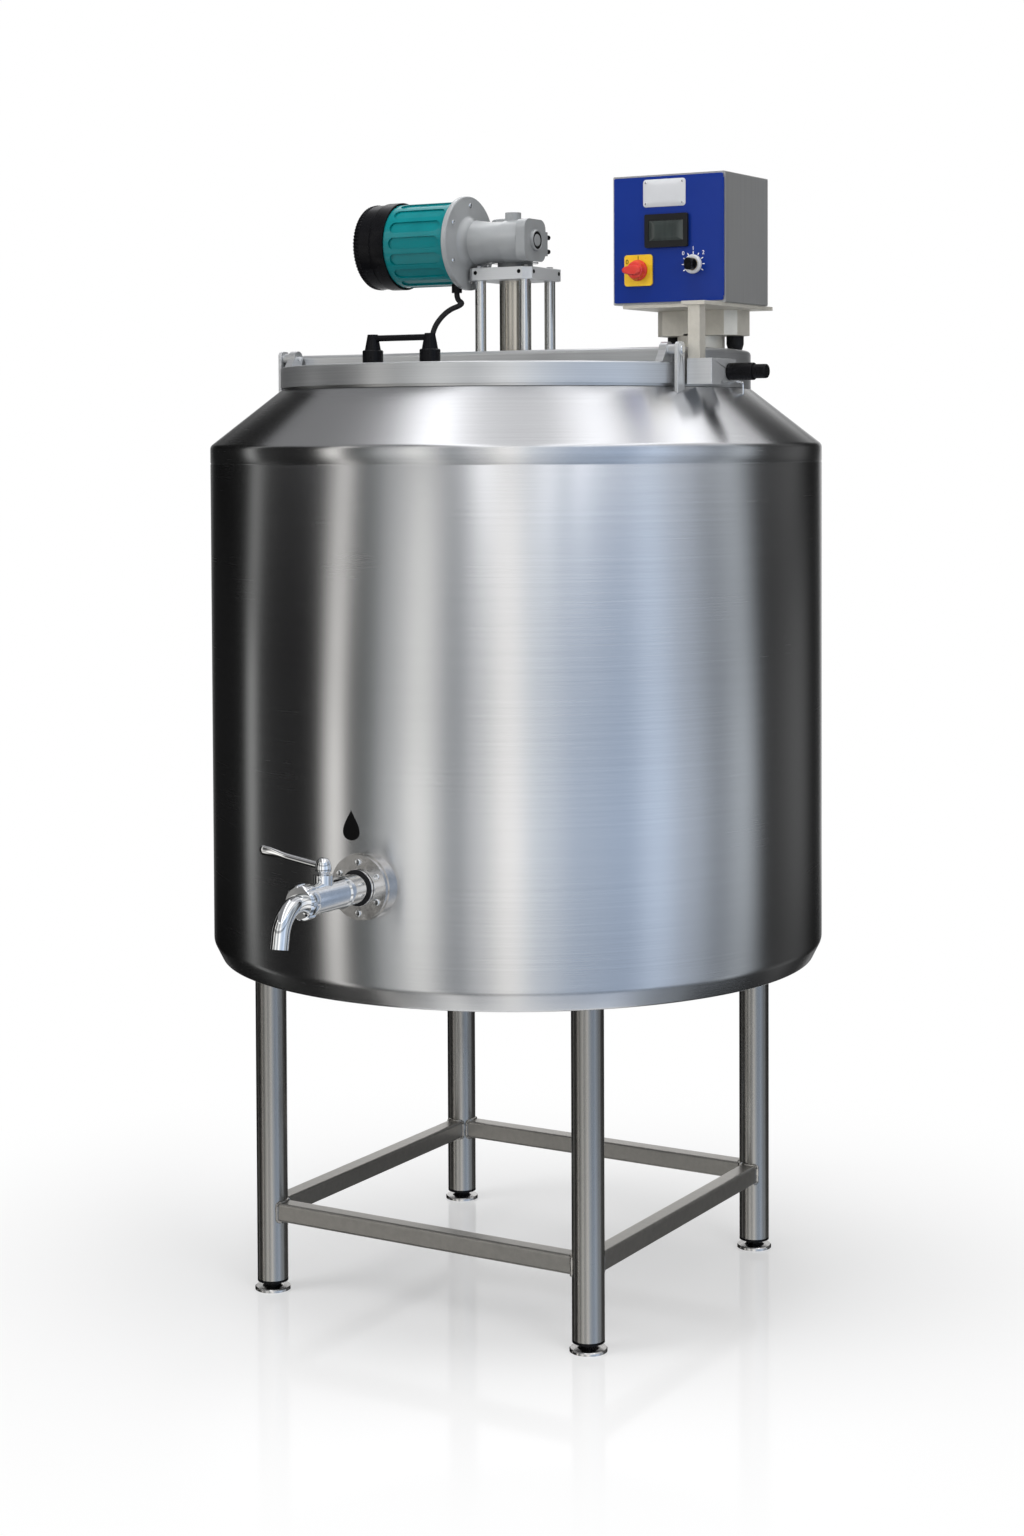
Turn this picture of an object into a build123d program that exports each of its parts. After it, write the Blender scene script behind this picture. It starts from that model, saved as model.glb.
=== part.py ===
"""Batch milk pasteurizer: jacketed vessel on four legs, with agitator, tap, lid and control box.

Millimetres. Origin on the vessel's axis at floor level, +Z up, the tap at the front (-Y).
"""
from build123d import *
from math import cos, sin, tan, radians, pi, sqrt
import os

# Outer shell
shell_radius = 500.0
shell_sheet = 2.0
shell_bottom = 533.0
chamfer_width = 15.0
wall_bottom = 563.0
wall_top = 1367.0
neck_radius = 385.0
neck_height = 1457.0

# Inner vessel and water jacket
wall_depth = 70.0
vessel_sheet = 3.0
vessel_shoulder = 1362.0
vessel_neck_start = 1404.0
outlet_floor = 692.0
outlet_floor_room = 60.0
floor_slope = 3.0
jacket_gap = 27.0
jacket_sheet = 2.0
jacket_bottom = 580.0
jacket_top = 1350.0
lining_gap = 0.5

# Neck ring, the mouth of the vessel
mouth_step = 9.0
neck_ring_sheet = 3.0
neck_ring_top = 1488.7

# Legs, stretchers and feet
leg_spacing = 585.0
leg_radius = 25.0
leg_wall = 2.0
leg_end = 18.0
stretcher_size = 30.0
stretcher_wall = 2.0
stretcher_corner = 5.0
stretcher_height = 130.0
insert_depth = 32.0
insert_flange = 4.0
insert_wall_gap = 0.1
stem_radius = 8.0
stem_gap = 0.05
stem_length = 84.0
pad_radius = 29.0
pad_thickness = 5.0
pad_hub_radius = 14.0
pad_hub_height = 13.6

# Milk tap
tap_offset = 34.0
tap_height = 716.0
tap_bore = 17.0
outlet_wall = 2.0
flange_radius = 50.0
flange_depth = 14.0
cover_ring_depth = 8.0
flange_hole_circle = 38.0
flange_screw_radius = 3.0
flange_screw_head = 5.0
flange_screw_count = 6
seal_radius = 27.0
seal_depth = 6.0
tap_body_radius = 22.5
tap_body_length = 142.0
tap_neck_length = 10.0
tap_step_radius = 24.5
tap_step_at = 44.0
tap_step_width = 5.0
nut_radius = 26.0
nut_overlap = 12.0
nut_depth = 22.0
nut_lip = 6.0
plug_distance = 90.0
ball_radius = 20.5
ball_bore = 15.0
plug_stem_radius = 6.0
plug_gap = 0.05
boss_radius = 14.5
boss_top = 32.0
knob_radius = 11.5
knob_tip_radius = 5.0
knob_height = 25.0
lever_radius = 5.0
lever_length = 113.0
lever_rise = 8.5
lever_seat_height = 12.0
spout_radius = 13.5
spout_wall = 1.5
spout_bend = 46.0
spout_turn = 80.0
spout_lead = 10.0
spout_tail = 20.0
spout_collar = 4.0

# Front lid and its hinge
lid_sheet = 2.0
lid_top = 1494.0
skirt_bottom = 1461.0
hinge_pin_y = -135.0
hinge_pin_z = 1512.5
hinge_pin_radius = 4.0
hinge_pin_gap = 0.05
lid_rear_edge = -127.0
lug_inner = 340.0
lug_thickness = 13.0
lug_round = 12.0
lug_foot = 24.0
lug_bush_radius = 8.5
lug_bush_gap = 0.5
ear_inner = 367.0
ear_thickness = 6.0
ear_round = 12.0
ear_corner = 8.0
ear_foot = 1444.0
pin_head_radius = 7.0
pin_head = 4.0
lid_seal_height = 3.0
lid_seal_gap = 0.3
handle_y = -345.0
handle_spacing = 104.0
handle_foot_radius = 16.0
handle_foot_height = 20.0
handle_post_base = 12.5
handle_post_top = 8.0
handle_bar_height = 38.0
handle_bar_radius = 4.8
handle_post_tip = 1.2

# Rear cover
cover_top = 1518.0
cover_sheet = 2.0
cover_edge_round = 7.0
riser_y = -120.0
ledge_depth = 24.0
ledge_gap = 0.3

# Motor stand
pillar_spacing = 83.0
pillar_radius = 9.0
stand_plate_bottom = 1636.0
stand_plate_thickness = 20.0
stand_plate_size = 118.0
stand_plate_corner = 12.0
stand_screw_radius = 6.0
stand_screw_height = 3.5
shaft_tube_radius = 26.0
shaft_tube_wall = 3.0

# Agitator
shaft_radius = 12.5
shaft_bottom = 800.0
shaft_hole_gap = 3.5
bearing_gap = 0.05
paddle_reach = 260.0
paddle_width = 70.0
paddle_thickness = 5.0
paddle_pitch = 45.0
paddle_heights = (850.0, 1120.0)
paddle_hub_radius = 22.0
paddle_hub_height = 60.0

# Worm gearbox
motor_axis_z = 1698.0
worm_offset = 40.0
output_disc_radius = 29.0
output_disc_height = 8.0
wheel_case_radius = 38.0
case_height = 72.0
case_edge_round = 3.0
neck_flare_radius = 37.0
neck_case_radius = 33.0
collar_case_radius = 35.0
worm_chamber_radius = 20.0
worm_case_x = (-46.0, -22.0, 11.0, 44.0)
end_block_size = 68.0
end_block_corner = 16.0
end_block_depth = 17.0
case_lug_x = (46.0, 58.0)
case_lug_rear = 6.0
case_wall = 6.0
wheel_room = 6.0
shaft_end_gap = 0.5
wheel_radius = 26.5
wheel_width = 20.0
wheel_teeth = 32
tooth_height = 1.5
tooth_share = 0.42
tooth_root_sink = 0.6
worm_length = 44.0
tip_gap = 0.2
end_cap_radius = 17.0
end_cap_depth = 4.0
oil_plug_radius = 13.0
oil_plug_top = 1744.0
oil_plug_x = 20.0
case_bolt_radius = 4.0
case_bolt_length = 13.0
case_bolt_heights = (1683.0, 1706.0)
case_bolt_x = 52.0

# Motor
bell_front_x = -62.0
bell_thickness = 10.0
bell_radius = 77.0
bell_edge_round = 2.5
bell_flare_radius = 45.0
housing_radius = 69.0
housing_wall = 5.0
housing_end_x = -188.0
recess_count = 16
recess_width = 19.0
recess_length = 96.0
recess_depth = 3.0
fan_cover_radius = 70.0
fan_cover_end_x = -252.0
fan_cover_wall = 2.5
fan_cover_dome = 16.0
fan_slot_count = 24
fan_slot_width = 3.0
fan_slot_inner = 44.0
fan_radius = 56.0
fan_length = 22.0
fan_end_x = -234.0
fan_blades = 7
fan_blade_thickness = 2.5
fan_hub_radius = 14.0
stator_bore = 36.0
stator_length = 76.0
air_gap = 0.4
motor_shaft_radius = 8.0

# Control box
box_left = 214.0
box_width = 196.0
box_front = -57.0
box_depth = 154.0
box_bottom = 1587.0
box_height = 202.0
box_sheet = 1.5
box_lip = 12.0
door_margin = 3.0
door_thickness = 2.5
door_gap = 0.6
door_barrel_radius = 1.5
door_barrel_inset = 10.0
display_center = (310.5, 1701.0)
display_size = (75.0, 52.0)
display_depth = 5.0
switch_center = (261.0, 1640.5)
switch_plate_size = 49.0
switch_plate_depth = 3.0
switch_hub_radius = 15.0
switch_hub_depth = 14.0
switch_grip_length = 44.0
switch_grip_width = 14.0
selector_center = (356.0, 1647.0)
selector_ring_radius = 13.5
selector_ring_depth = 5.0
selector_radius = 9.5
selector_depth = 15.0
control_turn_gap = 0.3
gear_rail = ((25.0, 171.0), 8.0, (90.0, 125.0))
gear_contactor = ((35.0, 85.0), 60.0, (70.0, 145.0))
gear_terminals = ((92.0, 164.0), 42.0, (82.0, 133.0))

# Box support
pole_x = 385.5
pole_y = -108.0
pole_size = 20.0
pole_wall = 2.0
pole_bottom = 1463.0
top_plate_thickness = 6.0
arm_width = 40.0
tray_x = (230.0, 372.0)
tray_y = (48.0, 126.0)
tray_corner = 16.0
tray_wall = 2.0
tray_bottom = 1541.0
hub_place = (300.0, 80.0)
hub_radius = 38.0
hub_wall = 2.5
buffer_places = ((243.0, 104.0), (347.0, 108.0))
buffer_top_radius = 14.0
buffer_base_radius = 11.0
bracket_front = -122.0
bracket_left = 376.0
bracket_outer = 418.0
bracket_rear = -36.0
bracket_sheet = 4.0
bracket_bottom = 1463.0
bracket_top = 1499.0
grip_y = -62.0
grip_z = 1479.0
grip_radius = 13.5
grip_length = 43.0
grip_cap_radius = 11.0
grip_cap_length = 22.0
grip_stud_radius = 5.0
grip_stud_length = 16.0

# Probe, heaters, ports and cable
probe_radius = 5.0
probe_bottom = 960.0
probe_head_radius = 14.0
heater_spacing = 130.0
heater_reach = 620.0
heater_rod_radius = 5.0
heater_stub_radius = 15.6
heater_head_radius = 26.0
heater_head_length = 46.0
port_radius = 16.85
port_wall = 2.6
port_length = 44.0
port_collar_radius = 22.0
port_collar_depth = 5.0
port_angle = 38.0
port_low = 630.0
port_high = 1320.0
cable_radius = 4.5
cable_points = ((-82.0, -50.0, 1617.0), (-82.0, -50.0, 1606.0), (-62.0, -60.0, 1598.0),
                (-87.0, -75.0, 1587.0), (-105.0, -91.0, 1556.0), (-105.0, -91.0, 1536.0))
gland_radius = 8.5
gland_nut_radius = 10.5
gland_nut_height = 8.0

# Values worked out from the ones above
chamfer_radius = shell_radius - chamfer_width
vessel_radius = shell_radius - wall_depth
vessel_outer = vessel_radius + vessel_sheet
jacket_outer = vessel_outer + jacket_gap + jacket_sheet
mouth_radius = neck_radius - mouth_step
neck_ring_outer = mouth_radius + neck_ring_sheet
leg_at = leg_spacing / 2
flange_face = shell_radius + flange_depth + cover_ring_depth
tap_body_end = flange_face + tap_body_length
tap_neck_end = flange_face + tap_neck_length
tap_step_start = flange_face + tap_step_at
nut_start = tap_body_end - nut_overlap
plug_offset = flange_face + plug_distance
heater_height = (jacket_bottom + outlet_floor) / 2
lug_outer = lug_inner + lug_thickness
plate_top = stand_plate_bottom + stand_plate_thickness
case_bottom = plate_top + output_disc_height
shaft_top = case_bottom + case_height - case_wall / 2
worm_y = -worm_offset
door_front = box_front - door_thickness - door_gap
box_right = box_left + box_width
box_top = box_bottom + box_height
gasket_bottom = lid_top - lid_sheet - lid_seal_height
gearbox_face = worm_case_x[0]
gearbox_end = worm_case_x[-1] + end_block_depth

FULL_UP = (Align.CENTER, Align.CENTER, Align.MIN)


def revolved(points):
    """Solid of revolution about the Z axis from (radius, height) points."""
    return revolve(Plane.XZ * make_face(Polyline(*points, close=True)), Axis.Z)


def upright(radius, bottom, top, x=0.0, y=0.0):
    """Cylinder with a vertical axis between two heights."""
    return Pos(x, y, bottom) * Cylinder(radius, top - bottom, align=FULL_UP)


def upright_tube(radius, bore, bottom, top, x=0.0, y=0.0):
    """Tube with a vertical axis between two heights."""
    return upright(radius, bottom, top, x, y) - upright(bore, bottom, top, x, y)


def along_x(radius, start, end, y=0.0, z=0.0):
    """Cylinder along X between two places."""
    return Pos(start, y, z) * Rot(0, 90, 0) * Cylinder(radius, end - start, align=FULL_UP)


def cone_along_x(start_radius, end_radius, start, end, y=0.0, z=0.0):
    """Cone along X between two places."""
    return Pos(start, y, z) * Rot(0, 90, 0) * Cone(start_radius, end_radius, end - start, align=FULL_UP)


def outward(radius, start, end, x=0.0, z=0.0):
    """Cylinder along -Y between two distances in front of the axis."""
    return Pos(x, -start, z) * Rot(90, 0, 0) * Cylinder(radius, end - start, align=FULL_UP)


def backward(radius, start, end, x=0.0, z=0.0):
    """Cylinder along +Y between two distances behind the axis."""
    return Pos(x, start, z) * Rot(-90, 0, 0) * Cylinder(radius, end - start, align=FULL_UP)


def block(x_range, y_range, z_range):
    """Box between two corners, given as ranges along the three axes."""
    size = [high - low for low, high in (x_range, y_range, z_range)]
    return Pos(x_range[0], y_range[0], z_range[0]) * Box(*size, align=(Align.MIN,) * 3)


def both_sides(solid):
    """The solid and its mirror image across the YZ plane."""
    return [solid, mirror(solid, Plane.YZ)]


def four_corners(solid, spacing):
    """Copies of a solid at the four corners of a square about the axis."""
    half = spacing / 2
    return [Pos(x, y, 0) * solid for x, y in ((-half, -half), (half, -half), (half, half), (-half, half))]


# Vessel

def shell_form(inset):
    """Closed body of the outer shell, with every face moved in by the inset."""
    outline = [(chamfer_radius, shell_bottom), (shell_radius, wall_bottom), (shell_radius, wall_top),
               (neck_radius, neck_height), (-neck_radius, neck_height), (-shell_radius, wall_top),
               (-shell_radius, wall_bottom), (-chamfer_radius, shell_bottom)]
    face = make_face(Polyline(*outline, close=True))
    if inset:
        face = offset(face, amount=-inset, kind=Kind.INTERSECTION)
    half = Pos(0, shell_bottom) * Rectangle(shell_radius, neck_height - shell_bottom,
                                            align=(Align.MIN, Align.MIN))
    return revolve(Plane.XZ * (face & half), Axis.Z)


def outlet_path(radius):
    """Round way from the vessel out to the tap."""
    return outward(radius, vessel_radius - 40.0, shell_radius + flange_depth, tap_offset, tap_height)


def rear_port(height, angle, start, end, radius):
    """Round piece pointing out of the rear wall at an angle from +Y."""
    piece = Pos(0, start, height) * Rot(-90, 0, 0) * Cylinder(radius, end - start, align=FULL_UP)
    return Rot(0, 0, -angle) * piece


def port_places():
    """Height and angle of the cooling water inlet and outlet."""
    return ((port_low, port_angle), (port_high, -port_angle))


def heater_places():
    """Places of the three heaters across the back."""
    return (-heater_spacing, 0.0, heater_spacing)


def make_outer_shell():
    shell = shell_form(0) - shell_form(shell_sheet)
    shell -= upright(neck_ring_outer, neck_height - 2 * shell_sheet, neck_height + 1.0)
    shell -= outlet_path(tap_bore + outlet_wall)
    for height, angle in port_places():
        shell -= rear_port(height, angle, vessel_radius, shell_radius + 10.0, port_radius)
    for x in heater_places():
        shell -= backward(heater_stub_radius, vessel_radius, shell_radius + 10.0, x, heater_height)
    return shell


def vessel_form(radius, floor_drop, grow):
    """Inner vessel body: a cylinder and a cone up to the neck, cut by the sloped floor."""
    body = revolved([(0, outlet_floor - outlet_floor_room), (radius, outlet_floor - outlet_floor_room),
                     (radius, vessel_shoulder),
                     (mouth_radius + grow, vessel_neck_start), (0, vessel_neck_start)])
    floor = Pos(0, -vessel_radius, outlet_floor - floor_drop) * Rot(floor_slope, 0, 0)
    return body & floor * Box(3 * radius, 4 * radius, 2 * vessel_neck_start, align=FULL_UP)


def make_inner_vessel():
    vessel = vessel_form(vessel_radius + vessel_sheet, vessel_sheet, vessel_sheet)
    vessel -= vessel_form(vessel_radius, 0.0, 0.0)
    return vessel - outlet_path(tap_bore + outlet_wall)


def make_neck_ring():
    return upright_tube(neck_ring_outer, mouth_radius, vessel_neck_start, neck_ring_top)


def make_jacket_shell():
    inner = jacket_outer - jacket_sheet
    shell = revolved([(0, jacket_bottom), (jacket_outer, jacket_bottom), (jacket_outer, jacket_top),
                      (vessel_outer, jacket_top), (vessel_outer, jacket_top - jacket_sheet),
                      (inner, jacket_top - jacket_sheet),
                      (inner, jacket_bottom + jacket_sheet), (0, jacket_bottom + jacket_sheet)])
    shell -= outlet_path(tap_bore + outlet_wall)
    for height, angle in port_places():
        shell -= rear_port(height, angle, vessel_outer, shell_radius, port_radius)
    for x in heater_places():
        shell -= backward(heater_stub_radius, vessel_outer, shell_radius, x, heater_height)
    return shell


def make_insulation():
    filling = shell_form(shell_sheet + lining_gap)
    filling -= upright(jacket_outer + lining_gap, jacket_bottom - lining_gap, jacket_top + lining_gap)
    filling -= revolved([(0, jacket_top), (vessel_outer + lining_gap, jacket_top),
                         (vessel_outer + lining_gap, vessel_shoulder),
                         (neck_ring_outer + lining_gap, vessel_neck_start + lining_gap),
                         (neck_ring_outer + lining_gap, neck_height), (0, neck_height)])
    filling -= outlet_path(tap_bore + outlet_wall + lining_gap)
    for height, angle in port_places():
        filling -= rear_port(height, angle, vessel_radius, shell_radius, port_radius + lining_gap)
    for x in heater_places():
        filling -= backward(heater_stub_radius + lining_gap, vessel_radius, shell_radius, x, heater_height)
    return filling


def make_outlet_tube():
    end = shell_radius + flange_depth
    tube = outward(tap_bore + outlet_wall, vessel_radius - 14.0, end, tap_offset, tap_height)
    tube -= outward(tap_bore, vessel_radius - 20.0, end, tap_offset, tap_height)
    return tube - upright(vessel_radius, outlet_floor - 60.0, outlet_floor + 90.0)


def make_jacket_ports():
    inner = vessel_outer + jacket_gap
    ports = []
    for height, angle in port_places():
        outer = rear_port(height, angle, inner, shell_radius + port_length, port_radius)
        collar_end = shell_radius + port_collar_depth
        collar = rear_port(height, angle, shell_radius - 6.0, collar_end, port_collar_radius)
        outer += collar - upright(shell_radius, shell_bottom, neck_height)
        bore = rear_port(height, angle, inner - 1.0, shell_radius + port_length, port_radius - port_wall)
        ports.append(outer - bore)
    return ports


def make_heating_elements():
    """Three hairpin heaters in the bottom of the jacket, each with its terminal head behind."""
    rod_offset = 1.5 * heater_rod_radius
    heaters = []
    for x in heater_places():
        start = sqrt(jacket_outer ** 2 - (abs(x) + heater_head_radius) ** 2) - 8.0
        face = sqrt(shell_radius ** 2 - x ** 2)
        bend_y = face - heater_reach
        heater = backward(heater_stub_radius, start, face + 1.0, x, heater_height)
        hexagon = extrude(RegularPolygon(heater_head_radius, 6), 14.0)
        head = Pos(x, face - 2.0, heater_height) * Rot(-90, 0, 0) * hexagon
        head += backward(heater_head_radius * 0.8, face + 6.0, face + heater_head_length, x, heater_height)
        heater += head - upright(shell_radius, wall_bottom, heater_height + 3 * heater_head_radius)
        for side in (-1, 1):
            heater += backward(heater_rod_radius, bend_y, start + 2.0, x + side * rod_offset, heater_height)
        bend = Pos(x, bend_y, heater_height) * Torus(rod_offset, heater_rod_radius * 0.98)
        reach = 4 * heater_rod_radius
        bend &= block((x - reach, x + reach), (bend_y - reach, bend_y),
                      (heater_height - reach, heater_height + reach))
        heaters.append(heater + bend)
    return heaters


# Stand: legs, stretchers and feet

def make_legs():
    leg = upright_tube(leg_radius, leg_radius - leg_wall, leg_end, shell_bottom)
    return four_corners(leg, leg_spacing)


def make_stretchers():
    """Square tubes between the legs, their ends coped to the round legs."""
    section = RectangleRounded(stretcher_size, stretcher_size, stretcher_corner)
    section -= RectangleRounded(stretcher_size - 2 * stretcher_wall, stretcher_size - 2 * stretcher_wall,
                                stretcher_corner - stretcher_wall)
    bar = Pos(-leg_at, -leg_at, stretcher_height) * extrude(Plane.YZ * section, leg_spacing)
    for x in (-leg_at, leg_at):
        bar -= upright(leg_radius, 0.0, shell_bottom, x, -leg_at)
    return [Rot(0, 0, quarter * 90) * bar for quarter in range(4)]


def make_leg_inserts():
    """Black plugs in the leg ends, each with the nut hole for a foot's stem."""
    insert = upright(leg_radius, leg_end - insert_flange, leg_end)
    insert += upright(leg_radius - leg_wall - insert_wall_gap, leg_end, leg_end + insert_depth)
    insert -= upright(stem_radius + stem_gap, 0.0, leg_end + insert_depth + 1.0)
    return four_corners(insert, leg_spacing)


def make_feet():
    """Steel pad with a raised hub and the threaded stem that sets the height."""
    rim = 1.5
    foot = revolved([(0, 0), (pad_radius, 0), (pad_radius, pad_thickness - rim),
                     (pad_radius - rim, pad_thickness), (pad_hub_radius + 3.0, pad_thickness),
                     (pad_hub_radius, pad_thickness + 2.0),
                     (stem_radius + 1.5, pad_hub_height), (stem_radius, pad_hub_height),
                     (stem_radius, stem_length - 1.5), (stem_radius - 1.5, stem_length), (0, stem_length)])
    return four_corners(foot, leg_spacing)


# Milk tap

def make_tap_flange():
    """Wall flange with a cover ring, seated on the round shell."""
    flange = outward(flange_radius, shell_radius - 20.0, shell_radius + flange_depth, tap_offset, tap_height)
    flange += outward(flange_radius - 1.5, shell_radius, flange_face, tap_offset, tap_height)
    flange -= upright(shell_radius, wall_bottom, wall_top)
    flange -= outward(tap_bore + outlet_wall, shell_radius - 40.0, flange_face + 1.0, tap_offset, tap_height)
    for x, z in flange_screw_places():
        flange -= outward(flange_screw_radius, shell_radius + 2.0, flange_face + 1.0, x, z)
    return flange


def flange_screw_places():
    """Places of the screws on their circle."""
    step = 2 * pi / flange_screw_count
    return [(tap_offset + flange_hole_circle * sin(step * n), tap_height + flange_hole_circle * cos(step * n))
            for n in range(flange_screw_count)]


def make_tap_screws():
    screws = []
    for x, z in flange_screw_places():
        screw = outward(flange_screw_radius, shell_radius + 4.0, flange_face, x, z)
        head = outward(flange_screw_head, flange_face, flange_face + 3.0, x, z)
        head = fillet(head.edges().filter_by(GeomType.CIRCLE).sort_by(Axis.Y)[0], 1.5)
        screws.append(screw + head)
    return screws


def make_tap_seal():
    end = flange_face + seal_depth
    seal = outward(seal_radius, flange_face, end, tap_offset, tap_height)
    return seal - outward(tap_bore + outlet_wall, flange_face - 1.0, end + 1.0, tap_offset, tap_height)


def make_tap_body():
    """Straight body with a round chamber for the ball and a boss for its stem."""
    body = outward(tap_bore + outlet_wall, shell_radius + flange_depth, tap_neck_end, tap_offset, tap_height)
    body += outward(tap_body_radius, flange_face + seal_depth, tap_body_end, tap_offset, tap_height)
    body += outward(tap_step_radius, tap_step_start, tap_step_start + tap_step_width, tap_offset, tap_height)
    boss_end = tap_height + boss_top
    body += upright(boss_radius, tap_height, boss_end, tap_offset, -plug_offset)
    body -= outward(ball_bore, shell_radius, tap_body_end + 1.0, tap_offset, tap_height)
    body -= Pos(tap_offset, -plug_offset, tap_height) * Sphere(ball_radius + plug_gap)
    return body - upright(plug_stem_radius + plug_gap, tap_height, boss_end + 1.0, tap_offset, -plug_offset)


def make_tap_ball():
    """Ball with its stem. At rest its bore lies across the flow, so the tap is shut."""
    ball = Pos(tap_offset, -plug_offset, tap_height) * Sphere(ball_radius)
    ball += upright(plug_stem_radius, tap_height, tap_height + boss_top + 0.4, tap_offset, -plug_offset)
    return ball - along_x(ball_bore, tap_offset - 2 * ball_radius, tap_offset + 2 * ball_radius,
                          -plug_offset, tap_height)


def make_tap_knob():
    base = tap_height + boss_top + 0.4
    cone = Pos(tap_offset, -plug_offset, base) * Cone(knob_radius, knob_tip_radius, knob_height, align=FULL_UP)
    return fillet(cone.edges().sort_by(Axis.Z)[-1], knob_tip_radius * 0.8)


def make_tap_lever():
    seat = tap_height + boss_top + lever_seat_height
    rod = Rot(0, -90 + lever_rise, 0) * Cylinder(lever_radius, lever_length, align=FULL_UP)
    return Pos(tap_offset, -plug_offset, seat) * rod - make_tap_knob()


def make_tap_nut():
    nut = outward(nut_radius, nut_start, nut_start + nut_depth, tap_offset, tap_height)
    nut = chamfer(nut.edges().filter_by(GeomType.CIRCLE), 1.5)
    nut -= outward(tap_body_radius, nut_start - 1.0, nut_start + nut_depth - nut_lip, tap_offset, tap_height)
    return nut - outward(spout_radius, nut_start, nut_start + nut_depth + 1.0, tap_offset, tap_height)


def spout_path():
    """Line of the spout: a short lead, a bend down and a straight tail."""
    lead = Line((0, 0), (spout_lead, 0))
    bend = JernArc(start=lead @ 1, tangent=lead % 1, radius=spout_bend, arc_size=-spout_turn)
    end = (bend @ 1) + (bend % 1) * spout_tail
    tail = Line(bend @ 1, end)
    place = Plane(origin=(tap_offset, -tap_body_end, tap_height), x_dir=(0, -1, 0), z_dir=(-1, 0, 0))
    return place * Wire([lead.edge(), bend.edge(), tail.edge()])


def make_tap_spout():
    path = spout_path()
    start = Plane(origin=path @ 0, z_dir=path % 0)
    tube = sweep(start * Circle(spout_radius), path) - sweep(start * Circle(spout_radius - spout_wall), path)
    collar = outward(tap_body_radius - 0.5, tap_body_end, tap_body_end + spout_collar, tap_offset, tap_height)
    return tube + (collar - outward(spout_radius - spout_wall, tap_body_end - 1.0, tap_body_end + 10.0,
                                    tap_offset, tap_height))


# Lid, hinge and rear cover

def lid_segment(radius, bottom, top, rear):
    """Round slab in front of a straight rear edge."""
    slab = upright(radius, bottom, top)
    return slab & block((-radius, radius), (-radius, rear), (bottom, top))


def lug_profile(foot_length):
    """Side view of a hinge lug: a round eye on a tapered foot."""
    eye = Pos(hinge_pin_y, hinge_pin_z) * Circle(lug_round)
    reach = lug_round - 0.5
    foot = make_face(Polyline((hinge_pin_y - foot_length, lid_top), (hinge_pin_y + lug_round - 4.0, lid_top),
                              (hinge_pin_y + reach, hinge_pin_z), (hinge_pin_y - reach, hinge_pin_z),
                              close=True))
    return eye + foot


def make_front_lid():
    """Sheet lid with a curved skirt and a hinge lug near each end of its straight edge."""
    lid = lid_segment(neck_radius, skirt_bottom, lid_top, lid_rear_edge)
    lid = fillet(lid.faces().sort_by(Axis.Z)[-1].edges().filter_by(GeomType.CIRCLE), lid_sheet + 1.0)
    lid -= lid_segment(neck_radius - lid_sheet, skirt_bottom - 1.0, lid_top - lid_sheet, lid_rear_edge + 1.0)
    lug = Pos(lug_inner, 0, 0) * extrude(Plane.YZ * lug_profile(lug_foot), lug_thickness)
    lug += along_x(lug_bush_radius, lug_outer, ear_inner - lug_bush_gap, hinge_pin_y, hinge_pin_z)
    lug -= along_x(hinge_pin_radius + hinge_pin_gap, lug_inner - 1.0, ear_inner, hinge_pin_y, hinge_pin_z)
    for side in both_sides(lug):
        lid += side
    return lid


def make_lid_seal():
    """Flat seal under the lid: along the mouth ring and across behind the hinge line."""
    top = lid_top - lid_sheet
    rear = hinge_pin_y - 1.0
    outer = lid_segment(neck_ring_outer + 1.5, gasket_bottom, top, rear)
    return outer - lid_segment(mouth_radius - 6.0, gasket_bottom - 1.0, top + 1.0, rear - ledge_depth * 0.6)


def make_lid_handle():
    """Bridge handle: two round feet, tapered posts and a bar."""
    half = handle_spacing / 2
    foot_top = lid_top + handle_foot_height
    bar_z = lid_top + handle_bar_height
    handle = along_x(handle_bar_radius, -half, half, handle_y, bar_z)
    for x in (-half, half):
        foot = upright(handle_foot_radius, lid_top, foot_top, x, handle_y)
        foot = chamfer(foot.edges().filter_by(GeomType.CIRCLE).sort_by(Axis.Z)[-1], 1.5)
        post_height = bar_z + handle_bar_radius + handle_post_tip - foot_top
        post = Pos(x, handle_y, foot_top) * Cone(handle_post_base, handle_post_top, post_height, align=FULL_UP)
        handle += foot + post
    return handle


def make_hinge_ears():
    """Fixed plates outside the lid's ends, standing on the cone of the shell."""
    height = hinge_pin_z + ear_round - ear_foot
    side_view = Pos(hinge_pin_y, ear_foot + height / 2) * RectangleRounded(2 * ear_round, height, ear_corner)
    side_view += Pos(hinge_pin_y, ear_foot + height / 4) * Rectangle(2 * ear_round, height / 2)
    ear = Pos(ear_inner, 0, 0) * extrude(Plane.YZ * side_view, ear_thickness)
    ear -= along_x(hinge_pin_radius, ear_inner - 1.0, ear_inner + ear_thickness + 1.0,
                   hinge_pin_y, hinge_pin_z)
    return both_sides(ear - shell_form(0))


def make_hinge_pins():
    outer = ear_inner + ear_thickness
    pin = along_x(hinge_pin_radius, lug_inner - 3.0, outer, hinge_pin_y, hinge_pin_z)
    head = along_x(pin_head_radius, outer, outer + pin_head, hinge_pin_y, hinge_pin_z)
    head = fillet(head.edges().filter_by(GeomType.CIRCLE).sort_by(Axis.X)[-1], 2.0)
    return both_sides(pin + head)


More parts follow.
